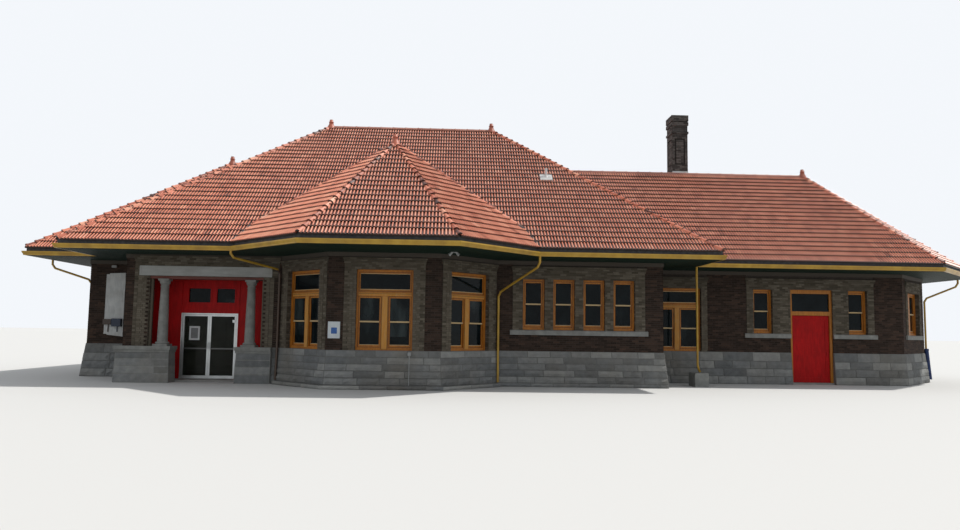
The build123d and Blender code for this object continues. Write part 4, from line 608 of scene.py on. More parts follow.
def rib_profile(u):
    """Height of the tile's face across the slope: two rounded ribs to a tile."""
    t = (u / (TILE_WIDTH / 2)) % 1.0
    return np.interp(t, RIB, RIB_HEIGHT)


def tile_slope(shell, normal, triangles):
    """Courses of two-ribbed tiles over one slope, cut at its hips and valleys."""
    down = normal[:2] / np.hypot(*normal[:2])
    across = np.array((-down[1], down[0], 0.0))
    up = np.cross(normal, across)
    origin = min((p for t in triangles for p in t), key=lambda p: p @ up)
    local = [np.stack([(t - origin) @ across, (t - origin) @ up], 1) for t in triangles]
    top = max(p[1] for t in local for p in t)
    grid = np.concatenate([RIB, RIB + 1.0, [2.0]]) * TILE_WIDTH / 2
    # Risers at each lap take the darkest tone, painted shade under the lap; the rest carry the ribs' painted
    # shade and highlight
    shade = np.concatenate([np.full(2 * len(RIB_SHADE_HIGHLIGHT_GRIME), -1.0), RIB_SHADE_HIGHLIGHT_GRIME, RIB_SHADE_HIGHLIGHT_GRIME])
    for k in range(int(np.ceil(top / TILE_COURSE))):
        v0 = k * TILE_COURSE
        v1 = min(v0 + TILE_COURSE + TILE_LAP, top)
        middle = min(v0 + TILE_COURSE / 2, (v0 + top) / 2)
        for span in cut_at(local, middle):
            spread = TILE_COURSE + TILE_WIDTH
            start = np.arange(int(np.floor((span[0] - spread) / TILE_WIDTH)),
                              int(np.ceil((span[1] + spread) / TILE_WIDTH))) * TILE_WIDTH
            middles = start + TILE_WIDTH / 2
            low = spans_for(cut_at(local, v0 + TILE_SLIP), span, middles)
            high = spans_for(cut_at(local, v1 - TILE_SLIP), span, middles)
            u = start[:, None] + grid[None]
            lift = RANDOM.random(len(start))[:, None] * TILE_SLIP
            eave = EAVE_OVERHANG if k == 0 else 0.0
            bottom = np.clip(u, low[0], low[1])
            upper = np.clip(u, high[0], high[1])
            rows = [
                (bottom, v0 - eave, TILE_SLIP + 0 * bottom),
                (bottom, v0 - eave, TILE_LIFT + lift + rib_profile(bottom)),
                (upper, v1, TILE_SLIP + lift + rib_profile(upper)),
            ]
            points = np.stack([
                origin + uu[..., None] * across + v * up + w[..., None] * normal for uu, v, w in rows
            ], 1)
            n = len(grid)
            faces = grid_faces(3, n)[None] + 3 * n * np.arange(len(start))[:, None, None]
            tones = RANDOM.normal(0.5, 0.055, len(start))[:, None] + shade[None]
            shell.add(points, faces, tones.ravel())


# Caps: spacing, and rings of one cap as a share of its length, a size and a lift
HIP_STEP = 0.32
RIDGE_STEP = 0.505
CAP_SEGMENTS = 8
HIP_CAP = ((0, 0.8, 0.0), (0, 1.14, 0.022), (0.16, 1.12, 0.020), (0.2, 1.02, 0.012), (1.1, 0.84, -0.004))
RIDGE_CAP = ((0, 0.9, 0.0), (0, 1.07, 0.008), (0.08, 1.07, 0.008), (0.1, 1.0, 0.002), (1.03, 0.98, 0.0))
CAP_HALF = 0.095
CAP_RISE = 0.078
CAP_SINK = 0.045


def run_axes(low, high):
    """Length of a line on the roof, and its directions along and level across."""
    length = np.linalg.norm(high - low)
    along = (high - low) / length
    across = np.cross(along, (0, 0, 1))
    return length, along, across / np.linalg.norm(across)


def roof_caps(lines, spacing, form):
    """Half-round lapped caps along hips or ridges, each from its first end to its last."""
    shell = Shell()
    angle = np.linspace(-0.5 * np.pi, 0.5 * np.pi, CAP_SEGMENTS + 1)
    sine, cosine = np.sin(angle)[:, None], np.cos(angle)[:, None]
    for low, high in lines:
        low, high = np.array(low, float), np.array(high, float)
        length, along, across = run_axes(low, high)
        up = np.cross(across, along)
        count = max(1, int(round(length / spacing)))
        step = length / count
        for k in range(count):
            tone = np.clip(RANDOM.normal(0.45, 0.14), 0, 1)
            rings = []
            for reach, size, lift in form:
                centre = low + along * (k + reach) * step + up * (lift - CAP_SINK)
                crown = CAP_RISE * size + CAP_SINK
                rings.append(centre + sine * across * CAP_HALF * size + cosine * up * crown)
            # Lip ring darkest and the flare's step a little darker: painted shade under each cap's lap
            shades = np.repeat([tone - 1.0, tone, tone - 0.2, tone], CAP_SEGMENTS)
            shell.add(np.concatenate(rings), grid_faces(len(rings), CAP_SEGMENTS + 1), shades)
    return shell


def edge_point(i):
    """Tile edge corner as a point of the roof."""
    return (*TILE_EDGE[i], TILE_LEVEL)


HIPS = [(edge_point(i), tip) for i, tip in (
    (2, RIDGE_LEFT), (15, RIDGE_LEFT), (7, RIDGE_RIGHT), (14, RIDGE_RIGHT), (0, LEFT_TIP), (17, LEFT_TIP),
    (9, RIGHT_TIP), (10, RIGHT_TIP), (11, RIGHT_TIP), (12, RIGHT_TIP), (4, APEX), (5, APEX),
)]
HIPS += [(VALLEY_LEFT, APEX), (VALLEY_RIGHT, APEX)]
RIDGES = [(RIDGE_LEFT, RIDGE_RIGHT), (LEFT_TIP, LEFT_MEET), (RIGHT_TIP, RIGHT_MEET), (APEX, APEX_BACK)]
VALLEYS = [
    (edge_point(3), VALLEY_LEFT), (VALLEY_LEFT, APEX_BACK), (edge_point(6), VALLEY_RIGHT),
    (VALLEY_RIGHT, APEX_BACK), (edge_point(1), LEFT_MEET), (edge_point(16), LEFT_MEET),
    (edge_point(8), RIGHT_MEET), (edge_point(13), RIGHT_MEET),
]
VALLEY_HALF = 0.07
VALLEY_LIFT = 0.045
VALLEY_FOLD = 0.05


def valley_strips():
    """Bent metal in the valleys."""
    shell = Shell()
    for low, high in VALLEYS:
        low, high = np.array(low), np.array(high)
        half = run_axes(low, high)[2] * VALLEY_HALF
        points = []
        for middle in (low + UP * VALLEY_LIFT, high + UP * VALLEY_LIFT):
            points += [middle - half + UP * VALLEY_FOLD, middle, middle + half + UP * VALLEY_FOLD]
        shell.add(points, [(0, 1, 4, 3), (1, 2, 5, 4)], 0.5)
    return shell


# Soffit boards, parallel to the walls and mitred at the corners: their number, the shares of the eaves' depth
# where they start and that they cover, and a board's section
BOARDS = 16
BOARD_START = 0.04
BOARD_SHARE = 0.955
BOARD_LEVELS = ((0, SOFFIT), (0.05, SOFFIT - 0.01), (0.93, SOFFIT - 0.01), (0.98, SOFFIT))


def soffit_boards():
    """Tongued boards under the eaves."""
    shell = Shell()
    for i in range(SIDES):
        for k in range(BOARDS):
            ring = []
            for reach, level in BOARD_LEVELS:
                t = BOARD_START + BOARD_SHARE * (k + reach) / BOARDS
                for corner in (i, (i + 1) % SIDES):
                    point = np.array(OUTLINE[corner]) * (1 - t) + np.array(TILE_EDGE[corner]) * t
                    ring.append((*point, level))
            shell.add(ring, [(0, 2, 3, 1), (2, 4, 5, 3), (4, 6, 7, 5)], RANDOM.random())
    return shell


# Chimney: middle, half sizes, widths and levels of its panels, and its projecting bands
CHIMNEY = (6.753, 2.6205)
CHIMNEY_HALF = (0.33, 0.40)
CHIMNEY_FOOT = 8.0
CHIMNEY_NECK = 11.07
PANEL_WIDTHS = (0.43, 0.54)
PANEL_LEVELS = (9.15, 10.29)
GROOVE = 0.05
BANDS = ((10.51, 10.60), (10.88, 11.03), (CHIMNEY_NECK, 11.324))
BAND_PROUD = 0.035


def chimney_bricks():
    """Bricks on the chimney's faces and bands, and in the panels inside their grooves."""
    shell = Shell()
    x, y = CHIMNEY
    hx, hy = CHIMNEY_HALF
    reach = BAND_PROUD + FACE
    for ax, ay in ((1, 0), (0, 1), (-1, 0), (0, -1)):
        ox, oy = ay, -ax
        plane = ((x + (ox - ax) * hx, y + (oy - ay) * hy, 0), (ax, ay, 0), UP, (ox, oy, 0))
        wide, panel = (2 * hx, PANEL_WIDTHS[0]) if ax else (2 * hy, PANEL_WIDTHS[1])
        left = (wide - panel) / 2
        low, high = PANEL_LEVELS
        hole = (left, left + panel, low, high)
        lay_bricks(shell, plane, (-FACE, wide + FACE, CHIMNEY_FOOT, CHIMNEY_NECK), [hole])
        inner = (left + GROOVE, left + panel - GROOVE, low + GROOVE, high - GROOVE)
        # Dark tone on the groove's walls round the panel: painted shade in the groove
        add_boxes(shell, plane, [(*inner, -GROOVE, -FACE)], 0.1)
        lay_bricks(shell, plane, inner, (), -FACE)
        for low, high in BANDS:
            lay_bricks(shell, plane, (-reach, wide + reach, low, high), (), BAND_PROUD)
    return shell


FLASHING_PROUD = 0.012
FLASHING_HIGH = 0.17
FLASHING_LOW = 0.02


def chimney_flashing():
    """Metal strips round the chimney's foot, slanting with the rear slope."""
    shell = Shell()
    x, y = CHIMNEY
    hx, hy = (half + FLASHING_PROUD for half in CHIMNEY_HALF)
    front = WING_RIDGE - (y - hy - LEFT_TIP[1]) * PITCH
    rear = WING_RIDGE - (y + hy - LEFT_TIP[1]) * PITCH
    ring = [(x - hx, y - hy, front), (x + hx, y - hy, front), (x + hx, y + hy, rear), (x - hx, y + hy, rear)]
    top = [(px, py, pz + FLASHING_HIGH) for px, py, pz in ring]
    foot = [(px, py, pz - FLASHING_LOW) for px, py, pz in ring]
    shell.add(foot + top, [(0, 1, 5, 4), (1, 2, 6, 5), (2, 3, 7, 6), (3, 0, 4, 7)], 0.5)
    return shell


VENT = (0.36, -2.0775)
APRON = (-0.23, 0.23, -0.23, 0.2, 0.03, 0.082)


def vent_apron():
    """Sheet metal under the vent pipe, over the tiles' ribs."""
    fall = np.hypot(1, PITCH)
    up, out = np.array((0, 1, PITCH)) / fall, np.array((0, -PITCH, 1)) / fall
    origin = (*VENT, TILE_LEVEL + (VENT[1] - TILE_EDGE[2][1]) * PITCH)
    return boxes_on((origin, (1, 0, 0), up, out), [APRON])


# Finials: domed tops and flared skirts round the faceted shafts, as heights and radii
FINIALS = [RIDGE_LEFT, RIDGE_RIGHT, LEFT_TIP, RIGHT_TIP, APEX]
FINIAL_RINGS = (
    (-0.06, 0.19), (0.05, 0.145), (0.12, 0.105), (0.20, 0.085), (0.21, 0.10), (0.235, 0.10), (0.245, 0.08),
    (0.318, 0.074), (0.329, 0.045), (0.3295, 0.002),
)
FINIAL_TONE = (0.30, 0.38)
FINIAL_SEGMENTS = 20


def turned(shell, centre, rings, segments, tone=0.5):
    """Surface of revolution about a vertical axis: each ring is a height and a radius."""
    angle = np.linspace(0, 2 * np.pi, segments, endpoint=False)
    points = [
        (centre[0] + radius * np.cos(a), centre[1] + radius * np.sin(a), centre[2] + height)
        for height, radius in rings for a in angle
    ]
    shell.add(points, ring_faces(len(rings), segments), tone)


def finial_tops():
    """Turned terracotta over the five finials."""
    shell = Shell()
    for centre in FINIALS:
        turned(shell, centre, FINIAL_RINGS, FINIAL_SEGMENTS, RANDOM.uniform(*FINIAL_TONE))
    return shell


# Columns: places along the porch, plinth and abacus as half width, bottom and top, and rings as height and
# radius
COLUMNS = (1.234, 4.074)
COLUMN_BACK = 0.11
PLINTH = (0.235, 1.176, 1.246)
ABACUS = (0.175, 3.325, 3.39)
COLUMN_RINGS = (
    (1.246, 0.150), (1.246, 0.196), (1.256, 0.211), (1.270, 0.217), (1.290, 0.217), (1.304, 0.211),
    (1.314, 0.197), (1.318, 0.178), (1.330, 0.172), (1.345, 0.1675), (1.9, 0.158), (2.5, 0.143),
    (3.105, 0.124), (3.109, 0.138), (3.127, 0.141), (3.135, 0.138), (3.139, 0.126), (3.205, 0.127),
    (3.215, 0.140), (3.245, 0.162), (3.285, 0.173), (3.325, 0.173), (3.325, 0.12),
)
COLUMN_SEGMENTS = 64


def stone_columns():
    """Square plinth and abacus, with torus, tapered shaft, neck and echinus turned between them."""
    shell = Shell()
    origin, along, up, out = wall_plane(2)
    for where in COLUMNS:
        centre = origin + along * where - out * COLUMN_BACK
        turned(shell, centre, COLUMN_RINGS, COLUMN_SEGMENTS)
        half, low, high = PLINTH
        add_boxes(shell, (centre, along, -out, up), [(-half, half, -half, half, low, high)])
        half, low, high = ABACUS
        add_boxes(shell, (centre, along, out, -up), [(-half, half, -half, half, -high, -low)])
    return shell


# Window joinery, as the frames and sashes have it
FRAME_BACK = 0.15
UPPER_BACK = 0.17
LOWER_BACK = 0.212
JAMB = 0.06
HEAD = 0.08
FRAME_SILL = 0.09
MULLION = 0.23
TRANSOM_BAR = 0.15
STILE = 0.05
TOP_RAIL = 0.06
MEETING_RAIL = 0.045
BOTTOM_RAIL = 0.085
LIGHT_RAIL = 0.07
LINE = 0.012
LINE_PROUD = 0.0015
BEVEL = 0.016
BEVEL_PROUD = 0.004
TRANSOM = 2.85
WING_TRANSOM = 2.79
# Tones for the painted shade lines, the painted highlight on covers and drips, and the paler painted
# highlight on bevels and rails
SHADE_TONE, HIGHLIGHT_TONE, SKY_HIGHLIGHT_TONE = 0.0, 0.75, 1.0


def window_lights(start, width, bottom, top, pairs, transom):
    """Openings of a frame for its pairs of sashes, and for its top light if it has one."""
    head = transom or top - HEAD
    clear = (width - 2 * JAMB - (pairs - 1) * MULLION) / pairs
    lefts = [start + JAMB + k * (clear + MULLION) for k in range(pairs)]
    fixed = [(start + JAMB, start + width - JAMB, transom + TRANSOM_BAR, top - HEAD)] if transom else []
    return [(left, left + clear, bottom + FRAME_SILL, head) for left in lefts], fixed


def shade_lines(left, right, low, high, back):
    """Dark lines of painted shade where a sash meets its frame."""
    return border(left, right, low, high, LINE, -back, -back + LINE_PROUD)


def bevel(left, right, level, back):
    """Glazing bevel under a pane, painted pale as a highlight."""
    return (left + STILE, right - STILE, level - BEVEL, level, -back, -back + BEVEL_PROUD)


def tall_window_covers(middle, left, right, bottom, transom):
    """Mullion cover and transom drips of a tall window, painted lighter as highlight, and the dark lines of
    painted shade beside them.
    """
    front = -FRAME_BACK
    foot, head = bottom + 0.05, transom - 0.004
    bright = [
        (middle - 0.085, middle + 0.085, foot, head, front, front + 0.018),
        (left, right, transom + 0.080, transom + 0.105, front, front + 0.032),
        (left, right, transom + 0.012, transom + 0.070, front, front + 0.010),
    ]
    dark = [
        (middle - 0.100, middle - 0.086, foot, head, front, front + LINE_PROUD),
        (middle + 0.086, middle + 0.100, foot, head, front, front + LINE_PROUD),
        (left, right, transom + 0.070, transom + 0.080, front, front + 0.002),
    ]
    return bright, dark


def window_mouldings():
    """Painted shade lines, meeting rails and bevels painted pale as highlight, and the tall windows' mullion
    covers and transom drips painted lighter as highlight.
    """
    shell = Shell()
    half_rail = MEETING_RAIL / 2
    for window in WINDOWS:
        i, start, width, bottom, top = window
        tall = window in TALL_WINDOWS
        transom = (WING_TRANSOM if i == 8 else TRANSOM) if tall else None
        pair, fixed = window_lights(start, width, bottom, top, 2 if width > 1.5 else 1, transom)
        dark, bright, pale = [], [], []
        for left, right, low, high in pair:
            middle = (low + high) / 2
            dark += shade_lines(left, right, middle, high, UPPER_BACK)
            dark += shade_lines(left, right, low, middle - half_rail, LOWER_BACK)
            pale.append((left + STILE, right - STILE, middle - half_rail, middle + half_rail,
                         -UPPER_BACK, -UPPER_BACK + BEVEL_PROUD))
            pale.append(bevel(left, right, low + BOTTOM_RAIL, LOWER_BACK))
        for left, right, low, high in fixed:
            dark += shade_lines(left, right, low, high, UPPER_BACK)
            pale.append(bevel(left, right, low + LIGHT_RAIL, UPPER_BACK))
            pale.append(bevel(left, right, high - TOP_RAIL + BEVEL, UPPER_BACK))
        if tall:
            left, right = start + JAMB, start + width - JAMB
            bright, more = tall_window_covers(start + width / 2, left, right, bottom, transom)
            dark += more
        for tone, boxes in ((SHADE_TONE, dark), (HIGHLIGHT_TONE, bright), (SKY_HIGHLIGHT_TONE, pale)):
            add_boxes(shell, wall_plane(i), boxes, tone)
    return shell


# Porch: the screen's depth, the floor, boards on a side wall, and the screen's rail and cover strips
SCREEN_BACK = 1.08
FLOOR = 0.06
SIDE_BOARDS = 6
BOARD_JOINT = 0.003
SCREEN_RAIL = (2.42, 2.55)
ENTRY_EDGES = (1.484, 3.404)
COVER = 0.03
SCREEN_MARGIN = 0.02


def side_boards():
    """Painted boards on the porch's side walls, between the brick returns and the screen."""
    shell = Shell()
    number, start, width, _, top = PORCH
    origin, along, up, out = wall_plane(number)
    wide = (SCREEN_BACK - REVEAL_PORCH) / SIDE_BOARDS
    rows = [
        (k * wide + BOARD_JOINT, (k + 1) * wide - BOARD_JOINT, FLOOR, top, 0, 0.012)
        for k in range(SIDE_BOARDS)
    ]
    for where, turn, back in ((start, 1, REVEAL_PORCH), (start + width, -1, SCREEN_BACK)):
        plane = (origin + along * where - out * back, -turn * out, up, along * turn)
        add_boxes(shell, plane, rows, RANDOM.random(SIDE_BOARDS))
    return shell


def screen_mouldings():
    """Rail and cover strips on the red screen."""
    number, start, width, _, top = PORCH
    low, high = SCREEN_RAIL
    back = -SCREEN_BACK
    rows = [(start + SCREEN_MARGIN, start + width - SCREEN_MARGIN, low, high, back, back + 0.012)]
    for edge in (ENTRY_EDGES[0] - COVER, ENTRY_EDGES[1]):
        rows.append((edge, edge + COVER, FLOOR + SCREEN_MARGIN, low, back, back + 0.022))
        rows.append((edge, edge + COVER, high, top - SCREEN_MARGIN, back, back + 0.022))
    return boxes_on(wall_plane(number), rows)


LINTEL_SHAPE = (0.444, 4.774, 3.49, 3.81)
LINTEL_BORDER = 0.045
LINTEL_DEPTH = (0.030, 0.033)


def lintel_lines():
    """Shadow line inside the lintel's border."""
    left, right, low, high = LINTEL_SHAPE
    left, right = left + LINTEL_BORDER, right - LINTEL_BORDER
    low, high = low + LINTEL_BORDER, high - LINTEL_BORDER
    return boxes_on(wall_plane(2), [
        (left, right, low, low + 0.011, *LINTEL_DEPTH), (left, right, high - 0.009, high, *LINTEL_DEPTH),
        (left, left + 0.011, low, high, *LINTEL_DEPTH), (right - 0.011, right, low, high, *LINTEL_DEPTH),
    ])


# Iron boot round the foot of the far right downspout: its ends, and rings as share of its length and radius
BOOT_LINE = ((16.352, 0.6265, 1.36), (16.462, 0.6265, 0.12))
BOOT_PIPE = 0.036
BOOT_RADIUS = 0.085
BOOT_COLLAR = BOOT_RADIUS * 1.15
BOOT_RINGS = (
    (0, BOOT_PIPE), (0, BOOT_COLLAR), (0.07, BOOT_COLLAR),
    (0.08, BOOT_RADIUS), (1, BOOT_RADIUS), (1, BOOT_PIPE),
)
BOOT_SEGMENTS = 20


def downspout_boot():
    """Sleeve round the pipe, with a collar at its top."""
    shell = Shell()
    top, foot = (np.array(p) for p in BOOT_LINE)
    angle = np.linspace(0, 2 * np.pi, BOOT_SEGMENTS, endpoint=False)
    ring = np.stack([np.cos(angle), np.sin(angle), 0 * angle], 1)
    rings = [top + (foot - top) * share + ring * radius for share, radius in BOOT_RINGS]
    shell.add(np.concatenate(rings), [face[::-1] for face in ring_faces(len(rings), BOOT_SEGMENTS)], 0.5)
    return shell


# Sign plate and notice
def rounded_plate(plane, rect, radius, back, front):
    """Plate with rounded corners, built as quads from its middle line."""
    shell = Shell()
    left, right, bottom, top = rect
    angle = np.linspace(0, np.pi / 2, 6)
    half = [(left + radius - radius * np.cos(t), top - radius + radius * np.sin(t)) for t in angle]
    half += [(right - radius + radius * np.sin(t), top - radius + radius * np.cos(t)) for t in angle]
    mirror = [(u, bottom + top - v) for u, v in half]
    n = len(half)
    flat = [(u, v, front) for u, v in half + mirror] + [(u, v, back) for u, v in half + mirror]
    origin, *axes = plane
    points = np.array(origin) + np.array(flat) @ np.array(axes, float)
    faces = [(n + k, n + k + 1, k + 1, k) for k in range(n - 1)]
    faces += [(k + 1, 2 * n + k + 1, 2 * n + k, k) for k in range(n - 1)]
    faces += [(n + k, 3 * n + k, 3 * n + k + 1, n + k + 1) for k in range(n - 1)]
    faces += [(0, 2 * n, 3 * n, n), (n - 1, 2 * n - 1, 4 * n - 1, 3 * n - 1)]
    shell.add(points, faces, 0.5)
    return shell


def sign_plate():
    """Bare enamel plate with rounded corners on the bay."""
    return rounded_plate(wall_plane(SIGN[0]), SIGN[1:], 0.035, 0.0, 0.014)


def sign_field():
    """Plain coloured field on the plate."""
    number, left, right, bottom, _ = SIGN
    rect = (left + 0.10, right - 0.09, bottom + 0.14, bottom + 0.33)
    return rounded_plate(wall_plane(number), rect, 0.02, 0.012, 0.0155)


NOTICE = (-12.03, -11.68, 1.37, 1.84)
NOTICE_RIM = 0.055
SHEET_MARGIN = 0.05
LEAF_FACE = -4.3475 + 1.06
LEAF_PLANE = ((0, LEAF_FACE, 0), (1, 0, 0), UP, (0, -1, 0))
ENTRY_PANES = ((-12.204, -11.421), (-11.293, -10.51))


def notice_frame():
    """White border of the blank notice on the left leaf's glass."""
    left, right, bottom, top = NOTICE
    a, b = left + NOTICE_RIM, right - NOTICE_RIM
    strips = (
        (left, a, bottom, top), (b, right, bottom, top),
        (a, b, bottom, bottom + NOTICE_RIM), (a, b, top - NOTICE_RIM, top),
    )
    return boxes_on(LEAF_PLANE, [(*strip, -0.018, 0.002) for strip in strips], 0.6)


def notice_sheet():
    """Blank sheet inside the notice's border."""
    left, right, bottom, top = NOTICE
    inner = (left + SHEET_MARGIN, right - SHEET_MARGIN, bottom + SHEET_MARGIN, top - SHEET_MARGIN)
    return boxes_on(LEAF_PLANE, [(*inner, -0.018, -0.006)])


# Materials
BLACK, WHITE = (0, 0, 0), (1, 1, 1)


def new_material(name):
    """Node material, its node tree and its shader."""
    material = bpy.data.materials.new(name)
    material.use_nodes = True
    tree = material.node_tree
    return material, tree, tree.nodes["Principled BSDF"]


def set_inputs(node, values):
    """Numbers or colours for a node's inputs, by name."""
    for key, value in values.items():
        node.inputs[key].default_value = value


def new_node(tree, kind, **values):
    """Node with its inputs set by name."""
    node = tree.nodes.new(kind)
    set_inputs(node, values)
    return node


def ramp(tree, factor, stops):
    """Colour ramp over a factor."""
    node = tree.nodes.new("ShaderNodeValToRGB")
    elements = node.color_ramp.elements
    while len(elements) < len(stops):
        elements.new(0.5)
    for element, (position, colour) in zip(elements, stops):
        element.position = position
        element.color = (*colour, 1)
    tree.links.new(factor, node.inputs["Fac"])
    return node.outputs["Color"]


def noise(tree, scale, detail=4.0, stretch=(1, 1, 1), roughness=0.55):
    """Noise over object space."""
    coordinates = tree.nodes.new("ShaderNodeTexCoord")
    mapping = new_node(tree, "ShaderNodeMapping", Scale=stretch)
    tree.links.new(coordinates.outputs["Object"], mapping.inputs["Vector"])
    node = new_node(tree, "ShaderNodeTexNoise", Scale=scale, Detail=detail, Roughness=roughness)
    tree.links.new(mapping.outputs["Vector"], node.inputs["Vector"])
    return node.outputs["Fac"]


def fill(tree, socket, value):
    """Link a socket's value to an input, or set a number or colour there."""
    if isinstance(value, bpy.types.NodeSocket):
        tree.links.new(value, socket)
    else:
        socket.default_value = (*value, 1) if isinstance(value, tuple) else value


def mix_colour(tree, factor, first, second):
    """Mix of two colours, each a socket or a plain colour."""
    node = tree.nodes.new("ShaderNodeMix")
    node.data_type = "RGBA"
    for number, value in ((0, factor), (6, first), (7, second)):
        fill(tree, node.inputs[number], value)
    return node.outputs[2]


def value_maths(tree, operation, first, second):
    """Maths node on sockets or numbers."""
    node = tree.nodes.new("ShaderNodeMath")
    node.operation = operation
    for socket, value in zip(node.inputs, (first, second)):
        fill(tree, socket, value)
    return node.outputs[0]


def add_bump(tree, shader, height, strength, distance):
    """Bump on a shader from a height."""
    relief = new_node(tree, "ShaderNodeBump", Strength=strength, Distance=distance)
    tree.links.new(height, relief.inputs["Height"])
    tree.links.new(relief.outputs["Normal"], shader.inputs["Normal"])


def surface(name, stops, scale=6.0, stretch=(1, 1, 1), tone=0.0, rough=0.75, metallic=0.0, specular=0.3,
            coat=0.0, bump=(0.25, 60.0), bump_distance=0.004, grime=None):
    """Principled material: a ramp over noise and each face's tone, large-scale grime, and fine bump.

    bump is its strength and scale, and grime its colour, scale and amount.
    """
    material, tree, shader = new_material(name)
    factor = noise(tree, scale, 5.0, stretch)
    if tone:
        attribute = tree.nodes.new("ShaderNodeAttribute")
        attribute.attribute_name = "tone"
        toned = value_maths(tree, "MULTIPLY", attribute.outputs["Fac"], tone)
        rest = value_maths(tree, "MULTIPLY", factor, 1 - tone)
        factor = value_maths(tree, "ADD", toned, rest)
    colour = ramp(tree, factor, stops)
    if grime:
        dirt, dirt_scale, amount = grime
        patches = ramp(tree, noise(tree, dirt_scale, 6.0), [(0.42, BLACK), (0.68, WHITE)])
        colour = mix_colour(tree, value_maths(tree, "MULTIPLY", patches, amount), colour, dirt)
    tree.links.new(colour, shader.inputs["Base Color"])
    set_inputs(shader, {
        "Roughness": rough, "Metallic": metallic, "Specular IOR Level": specular, "Coat Weight": coat,
    })
    strength, fine = bump
    add_bump(tree, shader, noise(tree, fine, 6.0, stretch, 0.65), strength, bump_distance)
    return material


def two_tone(name, low, high, **looks):
    """Surface whose colour runs evenly between two."""
    return surface(name, [(0.3, low), (0.7, high)], **looks)


def glass(name, colour, alpha):
    """Tinted pane, near black and mostly opaque as painted shade of the dark room behind it."""
    material, tree, shader = new_material(name)
    tint = ramp(tree, noise(tree, 2.5, 2.0), [(0.3, colour), (0.75, tuple(2.2 * c for c in colour))])
    tree.links.new(tint, shader.inputs["Base Color"])
    set_inputs(shader, {"Roughness": 0.04, "Alpha": alpha, "Specular IOR Level": 0.10})
    add_bump(tree, shader, noise(tree, 3.0, 1.0), 0.06, 0.004)
    return material


def inside_box(material, low, high, colour, patches=1.0):
    """Paint the part of a material inside a box another colour, all of it or in patches."""
    tree = material.node_tree
    target = tree.nodes["Principled BSDF"].inputs["Base Color"]
    source = target.links[0].from_socket
    coordinates = tree.nodes.new("ShaderNodeTexCoord")
    split = tree.nodes.new("ShaderNodeSeparateXYZ")
    tree.links.new(coordinates.outputs["Object"], split.inputs[0])
    test = patches
    for axis, least, most in zip("XYZ", low, high):
        for comparison, limit in (("GREATER_THAN", least), ("LESS_THAN", most)):
            passed = value_maths(tree, comparison, split.outputs[axis], limit)
            test = value_maths(tree, "MULTIPLY", test, passed)
    tree.links.new(mix_colour(tree, test, source, colour), target)


FAR = 99.0


def painted_reflections(material, colour, least, most):
    """Painted reflections: soft pale patches drawn down the panes between two heights."""
    tree = material.node_tree
    patches = ramp(tree, noise(tree, 0.9, 3.0, (1.6, 1.6, 0.5)), [(0.52, BLACK), (0.72, WHITE)])
    inside_box(material, (-FAR, -FAR, least), (FAR, FAR, most), colour, patches)


# Looks that materials share
TILE_LOOKS = dict(scale=9, rough=0.42, specular=0.5, bump=(0.35, 90))
BRICK_LOOKS = dict(scale=14, rough=0.85, specular=0.15, bump=(0.5, 120))
BOARD_GRAIN = dict(scale=5, stretch=(6, 6, 0.8), rough=0.5)
GUTTER_STOPS = [(0.25, (0.46, 0.26, 0.030)), (0.55, (0.58, 0.35, 0.042)), (0.85, (0.66, 0.43, 0.075))]
GUTTER_LOOKS = dict(scale=3, rough=0.4, bump=(0.1, 25), grime=((0.25, 0.14, 0.04), 2.0, 0.35), coat=0.2)
METAL_TONES = ((0.30, 0.31, 0.31), (0.42, 0.43, 0.43))

# The darkest stops carry the painted shade at the laps and in the pans, the upper stops the painted highlight
# on the rib crests
TILE = surface(
    "clay_tile",
    [(0.0, (0.012, 0.003, 0.002)), (0.22, (0.060, 0.014, 0.009)), (0.40, (0.55, 0.148, 0.082)),
     (0.55, (0.80, 0.275, 0.165)), (0.8, (0.90, 0.50, 0.34))], tone=0.9,
    grime=((0.26, 0.10, 0.07), 0.5, 0.15), **TILE_LOOKS)
# Its darkest stop carries the painted shade at the caps' lips
CAP = surface(
    "ridge_cap_tile",
    [(0.0, (0.05, 0.018, 0.013)), (0.3, (0.36, 0.145, 0.105)), (0.6, (0.52, 0.25, 0.19)),
     (0.9, (0.66, 0.38, 0.30))], tone=0.5, grime=((0.22, 0.10, 0.08), 0.7, 0.25),
    **{**TILE_LOOKS, "rough": 0.45})
BROWN = surface(
    "brown_brick",
    [(0.1, (0.026, 0.018, 0.014)), (0.45, (0.048, 0.032, 0.025)), (0.75, (0.072, 0.046, 0.035)),
     (0.95, (0.105, 0.062, 0.044))], tone=0.7, grime=((0.03, 0.022, 0.018), 0.9, 0.4), **BRICK_LOOKS)
BUFF = surface(
    "buff_brick", [(0.1, (0.075, 0.063, 0.047)), (0.5, (0.128, 0.109, 0.083)), (0.85, (0.195, 0.168, 0.130))],
    tone=0.75, grime=((0.10, 0.085, 0.065), 1.1, 0.4), **BRICK_LOOKS)
CHIMNEY_BRICK = surface(
    "chimney_brick",
    [(0.0, (0.012, 0.011, 0.011)), (0.15, (0.045, 0.040, 0.036)),
     (0.5, (0.098, 0.093, 0.088)), (0.9, (0.16, 0.148, 0.138))], scale=14, tone=0.7, rough=0.88,
    bump=(0.5, 110), grime=((0.030, 0.029, 0.029), 1.6, 0.5))
STONE = surface(
    "rock_faced_stone",
    [(0.15, (0.085, 0.090, 0.092)), (0.5, (0.240, 0.250, 0.252)), (0.85, (0.50, 0.50, 0.475))], scale=5,
    tone=0.65, rough=0.9, specular=0.2, bump=(1.0, 22), bump_distance=0.02,
    grime=((0.26, 0.225, 0.17), 0.5, 0.4))
